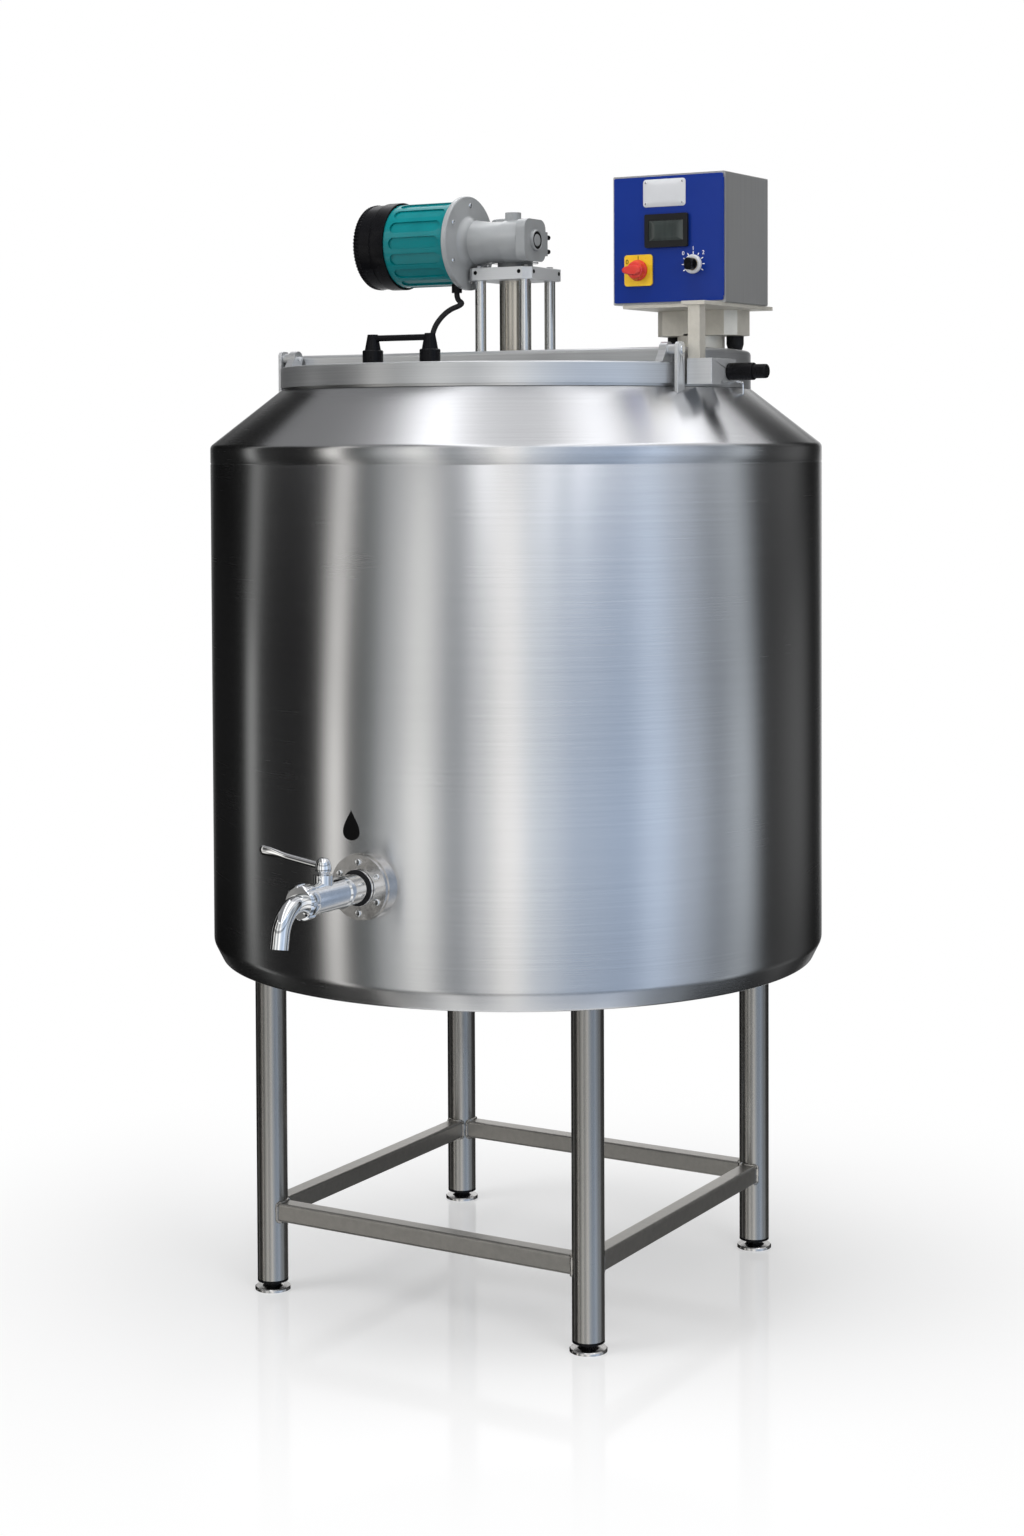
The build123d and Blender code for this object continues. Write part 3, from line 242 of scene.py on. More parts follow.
@dataclass(frozen=True)
class BrushedSteel(Finish):
    """Stainless sheet or tube with fine brush lines and soft handling marks."""

    grain: Grain = Grain.ROUND
    roughness: float = 0.26
    contrast: float = 0.05
    metal: float = 1.0
    stretch: float = 0.0

    def lay(self, sheet: Sheet) -> None:
        """Long thin noise in colour, roughness and relief, with broad patches in the roughness.

        Args:
            sheet: the material under construction.
        """
        lines = sheet.noise(self.grain.value, 4.0, 0.65)
        both = sheet.add("ShaderNodeMix", settings={"data_type": "FLOAT"}, Factor=0.4, A=lines,
                         B=sheet.even(7.0, 2.0))
        sheet.cover(self.color, (lines, 1 - self.contrast, 1 + self.contrast),
                    (both, self.roughness - 0.02, self.roughness + 0.03), (lines, 0.00001, 0.04),
                    Metallic=self.metal)
        if self.stretch:
            around = sheet.add("ShaderNodeTangent", settings={"direction_type": "RADIAL", "axis": "Z"})
            sheet.set(Tangent=around, Anisotropic=self.stretch, Anisotropic_Rotation=0.25)


@dataclass(frozen=True)
class PolishedSteel(Finish):
    """Bright turned or polished steel with faint wiping marks."""

    roughness: float = 0.09

    def lay(self, sheet: Sheet) -> None:
        """Fine round noise in colour and roughness, with a faint wave in the surface."""
        wipes = sheet.even(60.0, 5.0, 0.7)
        sheet.cover(self.color, (wipes, 0.94, 1.0), (wipes, self.roughness * 0.6, self.roughness * 1.6),
                    (sheet.even(25.0), 0.00006, 0.25), Metallic=1.0)


@dataclass(frozen=True)
class Paint(Finish):
    """Paint on cast or folded metal: a little orange peel, a clear gloss and slightly uneven tone."""

    roughness: float = 0.35
    coat: float = 0.4
    peel: float = 0.00006
    unevenness: float = 0.05
    shine: float = 0.5

    def lay(self, sheet: Sheet) -> None:
        """Soft patches in tone and roughness under a clear coat, and a fine peel in the surface."""
        tone = sheet.even(18.0, 4.0)
        sheet.cover(self.color, (tone, 1 - self.unevenness, 1 + self.unevenness),
                    (tone, self.roughness - 0.02, self.roughness + 0.03),
                    (sheet.even(420.0, 2.0), self.peel, 0.5),
                    Coat_Weight=self.coat, Coat_Roughness=0.08, Specular_IOR_Level=self.shine)


@dataclass(frozen=True)
class Plastic(Finish):
    """Moulded plastic with a fine eroded texture."""

    roughness: float = 0.4
    texture: float = 0.00004
    coat: float = 0.0
    shine: float = 0.5

    def lay(self, sheet: Sheet) -> None:
        """Even tone and a very fine grain in the surface."""
        tone = sheet.even(35.0)
        sheet.cover(self.color, (tone, 0.93, 1.07), (tone, self.roughness - 0.06, self.roughness + 0.06),
                    (sheet.even(1400.0, 2.0), self.texture, 0.6), Coat_Weight=self.coat, Coat_Roughness=0.05,
                    Specular_IOR_Level=self.shine)


@dataclass(frozen=True)
class Rubber(Finish):
    """Dull rubber with a dusty, slightly mottled surface."""

    roughness: float = 0.62
    dustiness: float = 0.5

    def lay(self, sheet: Sheet) -> None:
        """Fine dusty noise in tone and roughness, and a finer one in the surface."""
        dust = sheet.even(80.0, 5.0, 0.7)
        sheet.cover(self.color, (dust, 1.0, 1 + self.dustiness),
                    (dust, self.roughness - 0.1, self.roughness + 0.12),
                    (sheet.even(900.0, 2.0), 0.00005, 0.5),
                    Specular_IOR_Level=0.2)


@dataclass(frozen=True)
class Foam(Finish):
    """Pale insulation foam with open cells."""

    def lay(self, sheet: Sheet) -> None:
        """Soft patches in tone and round cells in the surface."""
        cells = sheet.add("ShaderNodeTexVoronoi", sheet.place, Scale=600.0)
        sheet.cover(self.color, (sheet.even(40.0), 0.85, 1.0), relief=(cells, 0.0004, 0.6), Roughness=0.9)


@dataclass(frozen=True)
class Window(Finish):
    """Dark display window under a clear glossy pane."""

    def lay(self, sheet: Sheet) -> None:
        """Faint upright streaks under a clear coat."""
        streaks = sheet.noise((120.0, 120.0, 30.0), 2.0)
        sheet.cover(self.color, (streaks, 0.8, 1.25), Roughness=0.3, Coat_Weight=1.0, Coat_Roughness=0.03)


class Palette:
    """All finishes of the object, each built once."""

    SHELL = BrushedSteel("shell_steel", (0.66, 0.665, 0.675), Grain.ROUND, 0.25, 0.035, stretch=0.85)
    CAP = BrushedSteel("cover_steel", (0.66, 0.67, 0.68), Grain.ALONG_X, 0.40, 0.04, 0.7,
                       slot="polished_steel")
    LID_RIM = BrushedSteel("lid_steel", (0.64, 0.65, 0.66), Grain.ROUND, 0.32, 0.07, 0.85)
    INNER = BrushedSteel("inner_steel", (0.64, 0.64, 0.64), Grain.ROUND, 0.34, 0.04)
    LEG = BrushedSteel("leg_steel", (0.42, 0.41, 0.39), Grain.UPRIGHT, 0.27, 0.04)
    BAR = BrushedSteel("bar_steel", (0.42, 0.405, 0.38), Grain.MIXED, 0.34, 0.06, 0.9)
    TUBE = BrushedSteel("shaft_tube_steel", (0.54, 0.51, 0.455), Grain.UPRIGHT, 0.24, slot="frame_steel")
    PILLAR = BrushedSteel("pillar_steel", (0.74, 0.74, 0.73), Grain.UPRIGHT, 0.22, 0.04)
    PLATE = BrushedSteel("plate_alloy", (0.62, 0.63, 0.64), Grain.ALONG_X, 0.50, 0.03, 0.4)
    BOX = BrushedSteel("box_steel", (0.50, 0.50, 0.495), Grain.UPRIGHT, 0.40, 0.06, 0.75)
    SUPPORT = BrushedSteel("support_steel", (0.66, 0.63, 0.56), Grain.MIXED, 0.48, 0.04, 0.55)
    CHROME = PolishedSteel("polished_steel", (0.80, 0.81, 0.82), 0.05)
    FLANGE = PolishedSteel("flange_steel", (0.63, 0.62, 0.61), 0.18)
    WELD = PolishedSteel("weld_steel", (0.52, 0.50, 0.47), 0.26, slot="frame_steel")
    BRONZE = PolishedSteel("gear_bronze", (0.60, 0.42, 0.20), 0.3)
    GREY = Paint("grey_paint", (0.300, 0.312, 0.320), 0.22, 0.5, 0.00008, 0.04)
    TEAL = Paint("teal_paint", (0.0, 0.165, 0.180), 0.17, 0.15, 0.00006, 0.06, 0.22)
    BLUE = Paint("blue_paint", (0.002, 0.024, 0.215), 0.30, 0.1, 0.00003, 0.02, 0.2)
    SILVER = Paint("silver_plate", (0.56, 0.57, 0.59), 0.40, 0.15, 0.00003, 0.04, slot="polished_steel")
    CORE = Paint("motor_core", (0.22, 0.18, 0.16), 0.5, 0.0)
    BLACK = Plastic("black_plastic", (0.004, 0.004, 0.005), 0.27, shine=0.13)
    BEZEL = Plastic("bezel_plastic", (0.010, 0.010, 0.011), 0.42, shine=0.25)
    YELLOW = Plastic("yellow_plastic", (0.80, 0.50, 0.008), 0.30, 0.00002, 0.4)
    RED = Plastic("red_plastic", (0.60, 0.030, 0.018), 0.28, 0.00002, 0.4)
    GREY_PLASTIC = Plastic("grey_plastic", (0.35, 0.36, 0.37), 0.5)
    WHITE_MARK = Plastic("white_mark", (0.80, 0.80, 0.80), 0.5, slot="white_seal")
    # Black for the sign, the numbers and the set screws, and painted shade in the tap screws' sockets and the
    # cap's groove
    BLACK_MARK_AND_SHADE = Plastic("black_mark", (0.003, 0.003, 0.003), 0.5, 0.00002, shine=0.1, slot="black_plastic")
    RUBBER = Rubber("black_rubber", (0.010, 0.010, 0.011))
    SEAL = Rubber("white_seal", (0.62, 0.62, 0.60), dustiness=0.06)
    FOAM = Foam("insulation_foam", (0.85, 0.80, 0.62))
    WINDOW = Window("dark_window", (0.022, 0.030, 0.028), slot="dark_glass")

    def __init__(self) -> None:
        """Start with nothing built."""
        self._built: dict[str, bpy.types.Material] = {}

    def get(self, finish: Finish) -> bpy.types.Material:
        """Give a finish's material, built on its first use.

        Args:
            finish: the finish.

        Returns:
            Its material.
        """
        if finish.name not in self._built:
            self._built[finish.name] = finish.build()
        return self._built[finish.name]


# Surfaces


def ring_angles(count: int) -> np.ndarray:
    """Angles of a closed ring, without the last that repeats the first."""
    return np.linspace(0.0, 2 * pi, count, endpoint=False)


def points(*parts: np.ndarray | float) -> np.ndarray:
    """Points from their coordinates: arrays of one shape, or single numbers that hold for all."""
    return np.stack(np.broadcast_arrays(*parts), -1)


def grid_faces(rows: int, columns: int, close_rows: bool = False, close_columns: bool = False) -> np.ndarray:
    """Quads of a grid of points, joined round where a direction closes.

    Args:
        rows: points along the first direction.
        columns: points along the second direction.
        close_rows: whether the last row joins the first.
        close_columns: whether the last column joins the first.

    Returns:
        An array of four indices for each quad.
    """
    first = np.arange(rows if close_rows else rows - 1)
    second = np.arange(columns if close_columns else columns - 1)
    i, j = np.meshgrid(first, second, indexing="ij")
    here, above, beside = i * columns, (i + 1) % rows * columns, (j + 1) % columns
    return points(here + j, above + j, above + beside, here + beside).reshape(-1, 4)


def link(name: str, data: bpy.types.ID) -> bpy.types.Object:
    """Put data into the scene as an object at the origin.

    Args:
        name: the object's name.
        data: its mesh, curve, camera or light.

    Returns:
        The object.
    """
    item = bpy.data.objects.new(name, data)
    bpy.context.scene.collection.objects.link(item)
    return item


def make_object(name: str, grids: Sequence[Grid]) -> bpy.types.Object:
    """One smooth mesh object from several grids of points, with doubles merged and faces turned outwards.

    Args:
        name: the piece's name.
        grids: for each grid its points, and whether its rows and its columns close.

    Returns:
        The object, at the origin.
    """
    places, faces, start = [], [], 0
    for grid, close_rows, close_columns in grids:
        rows, columns = grid.shape[:2]
        places.append(grid.reshape(-1, 3))
        faces.append(grid_faces(rows, columns, close_rows, close_columns) + start)
        start += rows * columns
    mesh = bpy.data.meshes.new(name)
    mesh.from_pydata(np.concatenate(places).tolist(), [], np.concatenate(faces).tolist())
    work = bmesh.new()
    work.from_mesh(mesh)
    bmesh.ops.remove_doubles(work, verts=work.verts, dist=1e-6)
    bmesh.ops.dissolve_degenerate(work, edges=work.edges, dist=1e-7)
    bmesh.ops.recalc_face_normals(work, faces=work.faces)
    work.to_mesh(mesh)
    work.free()
    mesh.polygons.foreach_set("use_smooth", np.ones(len(mesh.polygons), bool))
    mesh.set_sharp_from_angle(angle=CREASE)
    return link(name, mesh)


def turned(profile: np.ndarray, count: int, center: Point, axis: Axis) -> Grid:
    """Surface of revolution: radius times cosine and sine across the axis, height along it.

    Args:
        profile: rows of (radius, height) in metres.
        count: points round the axis.
        center: place of the profile's zero.
        axis: the axis to turn about.

    Returns:
        A grid closed round the axis.
    """
    across, up, along = (np.array(v, float) for v in axis.value)
    angle = ring_angles(count)
    ring = np.cos(angle)[:, None] * across + np.sin(angle)[:, None] * up
    grid = profile[:, 0, None, None] * ring[None] + profile[:, 1, None, None] * along
    return grid + np.array(center), False, True


def rounded_line(*corners: tuple[float, float, float], steps: int = 5) -> np.ndarray:
    """Flat line through corners of (x, y, radius), each corner with a radius replaced by an arc.

    Each arc is the quadratic curve from the corner's start to its end, with the corner as its middle point.

    Args:
        corners: the corners in order, sharp where the radius is 0.
        steps: points on each arc.

    Returns:
        The line's points.
    """
    places = np.array(corners, float)
    line: list[np.ndarray] = []
    for number, (x, y, radius) in enumerate(places):
        corner = np.array([x, y])
        if radius <= 0 or number in (0, len(places) - 1):
            line.append(corner[None])
            continue
        before, after = places[number - 1, :2] - corner, places[number + 1, :2] - corner
        start = corner + before / np.linalg.norm(before) * radius
        end = corner + after / np.linalg.norm(after) * radius
        t = np.linspace(0, 1, steps)[:, None]
        line.append((1 - t) ** 2 * start + 2 * t * (1 - t) * corner + t ** 2 * end)
    return np.concatenate(line)


def rounded_rectangle(width: float, height: float, corner: float, steps: int = 6) -> np.ndarray:
    """Closed outline of a rectangle with round corners.

    Args:
        width: its width.
        height: its height.
        corner: radius of its corners.
        steps: points on each corner.

    Returns:
        The outline's points about its centre.
    """
    turn = np.linspace(0, pi / 2, steps)
    half = np.array([width / 2 - corner, height / 2 - corner])
    signs = np.array([(1, 1), (-1, 1), (-1, -1), (1, -1)], float)
    return np.concatenate([half * sign + corner * points(np.cos(turn + k * pi / 2), np.sin(turn + k * pi / 2))
                           for k, sign in enumerate(signs)])


def plate_rings(back: float, edge: float, top: float, inset: float = 0.985) -> tuple[Pair, ...]:
    """Scale and height of the rings of a plate with a softened front edge, for raised_plate."""
    return (0.0, back), (1.0, back), (1.0, edge), (inset, top), (0.5, top), (0.0, top)


def raised_plate(outline: np.ndarray, rings: Sequence[Pair], place: Placing) -> Grid:
    """Plate whose rings, from its back's middle to its front's, are (scale of the outline, height)."""
    grid = [place(outline * scale, np.full(len(outline), height)) for scale, height in rings]
    return np.stack(grid), False, True


def along_path(path: np.ndarray, radii: np.ndarray | float, flat: np.ndarray | float | None = None,
               count: int = 16, closed: bool = False, side: Point = (0.0, 0.0, 1.0)) -> Grid:
    """Round or oval section carried along a path, square to it.

    Args:
        path: centre points.
        radii: half width of the section at each point.
        flat: half height at each point, the same as the width if left out.
        count: points round the section.
        closed: whether the path closes.
        side: direction that the section's height is laid near.

    Returns:
        A grid closed round the section.
    """
    tangent = np.roll(path, -1, 0) - np.roll(path, 1, 0)
    if not closed:
        tangent[0], tangent[-1] = path[1] - path[0], path[-1] - path[-2]
    tangent /= np.linalg.norm(tangent, axis=1)[:, None]
    wide = np.cross(np.array(side, float), tangent)
    wide /= np.linalg.norm(wide, axis=1)[:, None]
    tall = np.cross(tangent, wide)
    angle = ring_angles(count)
    radii = np.broadcast_to(radii, len(path))
    flat = radii if flat is None else np.broadcast_to(flat, len(path))
    grid = (path[:, None] + (radii[:, None] * np.cos(angle))[..., None] * wide[:, None]
            + (flat[:, None] * np.sin(angle))[..., None] * tall[:, None])
    if not closed:
        grid = np.concatenate([np.broadcast_to(path[0], (1, count, 3)), grid,
                               np.broadcast_to(path[-1], (1, count, 3))])
    return grid, closed, True


def on_front(center: Pair, face_y: float) -> Placing:
    """Placing on a face that looks to the front: u along X, v along Z, height towards the front."""
    return lambda flat, height: points(center[0] + flat[:, 0], face_y - height, center[1] + flat[:, 1])


def dome(radius: float, height: float, seat: float = 0.0) -> np.ndarray:
    """Profile of a rounded screw or rivet head: the height falls with the square of the radius.

    Args:
        radius: the head's radius.
        height: its height over the seat.
        seat: height of the face that it sits on.

    Returns:
        Rows of (radius, height), sunk a little into the seat.
    """
    share = np.linspace(1, 0, 7)
    curve = points(radius * share, seat + height * (0.35 + 0.65 * (1 - share ** 2)))
    return np.concatenate([[[0.0, seat - 0.0004], [radius, seat - 0.0004], [radius, seat]], curve])


@dataclass
class SubAssembly:
    """A group of solids and added pieces that are dressed together.

    DRESS holds a finish, the solids' names and, where their edges are rounded, the width of the rounding.
    """

    palette: Palette
    body: str = "vessel_and_stand"
    made: list[str] = field(default_factory=list)
    DRESS: ClassVar[tuple[tuple[Finish, str] | tuple[Finish, str, float], ...]] = ()

    def build(self) -> None:
        """Dress the group's solids and add its own pieces."""
        for finish, nodes, *edge in self.DRESS:
            for node in nodes.split():
                self.dress(node, finish, *edge)
        self.details()

    def details(self) -> None:
        """Add the pieces that the solids leave out."""
        raise NotImplementedError

    def dress(self, node: str, finish: Finish, edge: float = 0.0) -> None:
        """Give a solid its finish, merge its triangles and smooth it, with rounded edges if asked.

        Args:
            node: the solid's name.
            finish: its finish.
            edge: width in metres of the rounding on sharp edges, or 0 for none.
        """
        item = bpy.data.objects[node]
        mesh = item.data
        mesh.materials.clear()
        mesh.materials.append(self.palette.get(finish))
        mesh.polygons.foreach_set("use_smooth", np.ones(len(mesh.polygons), bool))
        if "custom_normal" in mesh.attributes:
            mesh.attributes.remove(mesh.attributes["custom_normal"])
        item.modifiers.new("merge", "WELD").merge_threshold = MERGE
        if edge:
            bevel = item.modifiers.new("edges", "BEVEL")
            bevel.width = edge
            bevel.segments = 2
            bevel.limit_method = "ANGLE"
            bevel.angle_limit = CREASE
            bevel.harden_normals = True
            bevel.miter_outer = "MITER_ARC"
        else:
            item.modifiers.new("creases", "EDGE_SPLIT").split_angle = SPLIT
        self.made.append(node)

    def add(self, name: str, finish: Finish, *grids: Grid, body: str = "") -> bpy.types.Object:
        """Add a piece from its surfaces, on the group's own body if no body is named."""
        return self.settle(make_object(name, grids), finish, body)

    def settle(self, item: bpy.types.Object, finish: Finish, body: str = "") -> bpy.types.Object:
        """Give a piece its finish and body.

        Args:
            item: the piece.
            finish: its finish.
            body: the body it moves with, or nothing for the group's own.

        Returns:
            The same piece.
        """
        item.data.materials.append(self.palette.get(finish))
        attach(item, body or self.body)
        self.made.append(item.name)
        return item

    def report(self) -> None:
        """Log what has been made."""
        LOG.info("%s: %d pieces: %s", type(self).__name__, len(self.made), ", ".join(self.made))


@dataclass
class Vessel(SubAssembly):
    """Outer shell, its lining and everything inside it."""

    DRESS = ((Palette.INNER, "inner_vessel neck_ring jacket_shell outlet_tube agitator"),
             (Palette.FOAM, "insulation"), (Palette.TUBE, "jacket_ports heating_elements", 0.0006))
    radius: float = 0.500
    sheet: float = 0.002
    bottom: float = 0.533
    wall_bottom: float = 0.563
    seam_height: float = 1.339
    seam_depth: float = 0.0007
    wall_top: float = 1.367
    neck_radius: float = 0.385
    neck_height: float = 1.457
    opening: float = 0.379
    sign_center: Pair = (0.007, 0.804)
    sign_height: float = 0.046
    sign_thickness: float = 0.0004
    ports: tuple[Pair, ...] = ((38.0, 0.630), (-38.0, 1.320))
    port_radius: float = 0.01645
    thread_start: float = 0.516
    thread_end: float = 0.541
    thread_pitch: float = 0.0035
    ridge: Pair = (0.0009, 0.0006)

    def details(self) -> None:
        """Add the shell's skin, the sign and the ports' threads."""
        self.shell_skin()
        self.droplet_sign()
        self.port_threads()

    def shell_skin(self) -> None:
        """Closed shell of revolution with rounded corners and a fine seam under the shoulder."""
        r, t, groove, seam = self.radius, self.sheet, self.radius - self.seam_depth, self.seam_height
        low, high, neck, rim = self.wall_bottom, self.wall_top, self.neck_radius, self.neck_height
        line = rounded_line(
            (0, self.bottom, 0), (r - 0.015, self.bottom, 0.004), (r, low, 0.005), (r, seam - 0.0014, 0),
            (groove, seam - 0.0005, 0), (groove, seam + 0.0005, 0), (r, seam + 0.0014, 0), (r, high, 0.005),
            (neck, rim, 0.003), (self.opening, rim, 0), (self.opening, rim - t, 0),
            (neck - 0.0006, rim - t, 0), (r - t, high - 0.0008, 0), (r - t, low + 0.0005, 0),
            (r - 0.016, self.bottom + t, 0), (0, self.bottom + t, 0), steps=7)
        skin = self.add("shell_skin", Palette.SHELL, turned(line, 288, (0, 0, 0), Axis.Z))
        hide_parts("outer_shell")

    def on_wall(self, flat: np.ndarray, height: np.ndarray) -> np.ndarray:
        """Points on the round wall: u is the arc's length from the front, v the height.

        Args:
            flat: (u, v) from the sign's centre.
            height: how far each point stands off the wall.

        Returns:
            The points.
        """
        around = (flat[:, 0] + self.sign_center[0]) / self.radius
        reach = self.radius + height
        return points(reach * np.sin(around), -reach * np.cos(around), flat[:, 1] + self.sign_center[1])

    def droplet_sign(self) -> None:
        """Flat drop: width is sine of t times the sine of half t to the power 1.6, height is cosine of t."""
        t = ring_angles(64)
        half = self.sign_height / 2
        outline = points(half * 0.92 * np.sin(t) * np.abs(np.sin(t / 2)) ** 1.6, half * np.cos(t))
        rings = plate_rings(-0.0002, self.sign_thickness - 0.0001, self.sign_thickness, 0.97)
        self.add("drop_sign", Palette.BLACK_MARK_AND_SHADE, raised_plate(outline, rings, self.on_wall))

    def port_threads(self) -> None:
        """Rounded ridges round each rear port: rings of a small oval section square to the port."""
        t = ring_angles(48)[:, None]
        grids = []
        for angle, height in self.ports:
            way = np.array([sin(radians(angle)), cos(radians(angle)), 0.0])
            across = np.array([way[1], -way[0], 0.0])
            circle = self.port_radius * (np.cos(t) * across + np.sin(t) * (0.0, 0.0, 1.0))
            grids += [along_path(way * reach + (0, 0, height) + circle, *self.ridge, 8, True, tuple(way))
                      for reach in np.arange(self.thread_start, self.thread_end, self.thread_pitch)]
        self.add("port_thread_ridges", Palette.TUBE, *grids)


@dataclass
class Stand(SubAssembly):
    """Legs, stretchers, feet and their weld beads."""

    DRESS = ((Palette.LEG, "legs"), (Palette.BAR, "stretchers"), (Palette.BLACK, "leg_inserts"),
             (Palette.FLANGE, "foot_front_left foot_front_right foot_rear_right foot_rear_left"))
    leg_at: float = 0.2925
    leg_radius: float = 0.025
    leg_top: float = 0.5316
    bar_size: float = 0.030
    bar_corner: float = 0.005
    bar_height: float = 0.130
    bead: float = 0.0026
    bead_swell: float = 0.16

    def details(self) -> None:
        """Add the weld beads."""
        self.stretcher_beads()
        self.leg_beads()

    def beads(self, name: str, paths: Sequence[tuple[np.ndarray, Point]]) -> None:
        """Beads along closed paths: the radius is a steady size with a small repeating swell.

        Args:
            name: the piece's name.
            paths: each path's points, and the direction that its section's height is laid near.
        """
        grids = []
        for path, side in paths:
            size = self.bead * (1 + self.bead_swell * np.sin(np.arange(len(path)) * 2.1))
            grids.append(along_path(path, size, None, 8, True, side))
        self.add(name, Palette.WELD, *grids)

    def stretcher_beads(self) -> None:
        """Bead round each bar's end: its outline on the leg, x the root of radius squared less y squared."""
        outline = rounded_rectangle(self.bar_size + 0.001, self.bar_size + 0.001, self.bar_corner, 8)
        closed = np.concatenate([outline, outline[:1]])
        fine = np.linspace(0, len(outline), 96, endpoint=False)
        y, z = (np.interp(fine, np.arange(len(closed)), closed[:, part]) for part in (0, 1))
        x = np.sqrt(self.leg_radius ** 2 - y ** 2) + 0.0004
        end = points(x - self.leg_at, y - self.leg_at, z + self.bar_height)
        paths = []
        for quarter in range(4):
            c, s = cos(quarter * pi / 2), sin(quarter * pi / 2)
            spin = np.array([[c, -s, 0], [s, c, 0], [0, 0, 1]])
            paths += [(path @ spin.T, tuple(spin @ (1, 0.02, 0.01))) for path in (end, end * (-1, 1, 1))]
        self.beads("stretcher_weld_beads", paths)

    def leg_beads(self) -> None:
        """Bead round the top of each leg, under the vessel's flat bottom."""
        angle = ring_angles(120)
        ring = points(self.leg_radius * np.cos(angle), self.leg_radius * np.sin(angle), self.leg_top)
        sides = (-self.leg_at, self.leg_at)
        self.beads("leg_weld_beads", [(ring + (x, y, 0), (0.0, 0.0, 1.0)) for x in sides for y in sides])


@dataclass
class MilkTap(SubAssembly):
    """Tap at the foot of the wall, its profiles as (radius, height along the axis, rounding)."""

    DRESS = ((Palette.FLANGE, "tap_flange", 0.0008), (Palette.RUBBER, "tap_seal", 0.0008),
             (Palette.CHROME, "tap_body", 0.0006), (Palette.CHROME, "tap_screws tap_spout tap_ball"))
    SEAL_BAND = ((0.0262, 0.5229, 0), (0.0274, 0.5229, 0.0004), (0.0274, 0.5271, 0.0004), (0.0262, 0.5271, 0),
                 (0.0262, 0.5229, 0))
    KNOB = ((0, 0.7484, 0), (0.0085, 0.7484, 0), (0.0085, 0.7500, 0.0008), (0.0118, 0.7530, 0.002),
            (0.0122, 0.7600, 0.004), (0.0098, 0.7690, 0.004), (0.0050, 0.7732, 0.003), (0, 0.7736, 0))
    # Painted shade: flat dark hexagon, a little proud of each screw head, in place of the shade inside its
    # socket
    SOCKET = ((0.0, -0.0006), (0.0024, -0.0006), (0.0026, 0.0), (0.0024, 0.0001), (0.0021, -0.0003),
              (0.0, -0.0003))
    x: float = 0.034
    z: float = 0.716
    plug_y: float = -0.612
    nut_start: float = 0.652
    nut_depth: float = 0.022
    nut_radius: float = 0.026
    nut_bore: float = 0.0225
    nut_lip: float = 0.0135
    nut_notch: float = 0.0026
    lever_foot: float = 0.760
    lever_length: float = 0.113
    lever_rise: float = 8.5
    lever_radius: float = 0.0050
    lever_thinning: float = 0.0018
    lever_widening: float = 0.0022
    lever_flattens: Pair = (0.55, 0.35)
    lever_ends: Pair = (0.97, 0.03)
    screw_circle: float = 0.038
    screw_face: float = -0.5252

    def details(self) -> None:
        """Add the notched nut, the seal's band, the knob, the lever and the screws' sockets in painted shade.
        """
        self.notched_nut()
        self.seal_and_knob()
        self.lever()
        self.screw_sockets()

    def notched_nut(self) -> None:
        """Union nut: the radius falls in eight notches round it, and the section closes through the bore."""
        angle = ring_angles(240)
        notch = np.clip((np.cos(8 * angle) - 0.55) * 6.0, 0.0, 1.0)
        outer, bore, lip = self.nut_radius, self.nut_bore, self.nut_lip
        start, end = self.nut_start, self.nut_start + self.nut_depth
        section = ((bore, start, 0), (outer - 0.0025, start, 0.2), (outer - 0.0008, start + 0.0012, 0.6),
                   (outer, start + 0.0030, 1), (outer, end - 0.0045, 1), (outer - 0.0010, end - 0.0022, 0.6),
                   (outer - 0.0035, end, 0.1), (lip, end, 0), (lip, end - 0.006, 0), (bore, end - 0.006, 0),
                   (bore, start, 0))
        rows = []
        for radius, reach, share in section:
            ring = radius - self.nut_notch * share * notch
            rows.append(points(self.x + ring * np.sin(angle), -reach, self.z + ring * np.cos(angle)))
        nut = self.add("notched_nut", Palette.CHROME, (np.stack(rows), False, True))
        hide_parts("tap_nut")

    def seal_and_knob(self) -> None:
        """Bright band round the seal, and a bell-shaped knob with a waist and a domed top."""
        band = turned(rounded_line(*self.SEAL_BAND), 72, (self.x, 0, self.z), Axis.FRONT)
        self.add("seal_band", Palette.CHROME, band)
        bell = turned(rounded_line(*self.KNOB, steps=7), 48, (self.x, self.plug_y, 0), Axis.Z)
        knob = self.add("bell_knob", Palette.CHROME, bell, body="tap_turning_set")
        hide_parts("tap_knob")

    def lever(self) -> None:
        """Rod that flattens to a paddle: its height swells and its width falls towards the blunt end."""
        share = np.linspace(0, 1, 40)
        rise = radians(self.lever_rise)
        reach = share * self.lever_length
        path = points(self.x - reach * cos(rise), self.plug_y, self.lever_foot + reach * sin(rise))
        end, tip = (np.clip((share - first) / span, 0, 1)
                    for first, span in (self.lever_flattens, self.lever_ends))
        swell = end * end * (3 - 2 * end)
        close = np.sqrt(np.clip(1 - tip ** 2, 0.5, 1))
        wide = (self.lever_radius - self.lever_thinning * swell) * close
        tall = (self.lever_radius + self.lever_widening * swell) * close
        rod = along_path(path, wide, tall, 24)
        lever = self.add("flat_ended_lever", Palette.CHROME, rod, body="tap_turning_set")
        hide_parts("tap_lever")

    def screw_sockets(self) -> None:
        """Six-sided sockets in the flange's screws, as dark rings a little proud of each head: painted shade
        where each socket's recess is.
        """
        around = self.screw_circle
        places = [(self.x + around * sin(a), self.screw_face, self.z + around * cos(a))
                  for a in ring_angles(6)]
        grids = [turned(np.array(self.SOCKET), 6, place, Axis.FRONT) for place in places]
        self.add("flange_screw_socket_shade", Palette.BLACK_MARK_AND_SHADE, *grids)


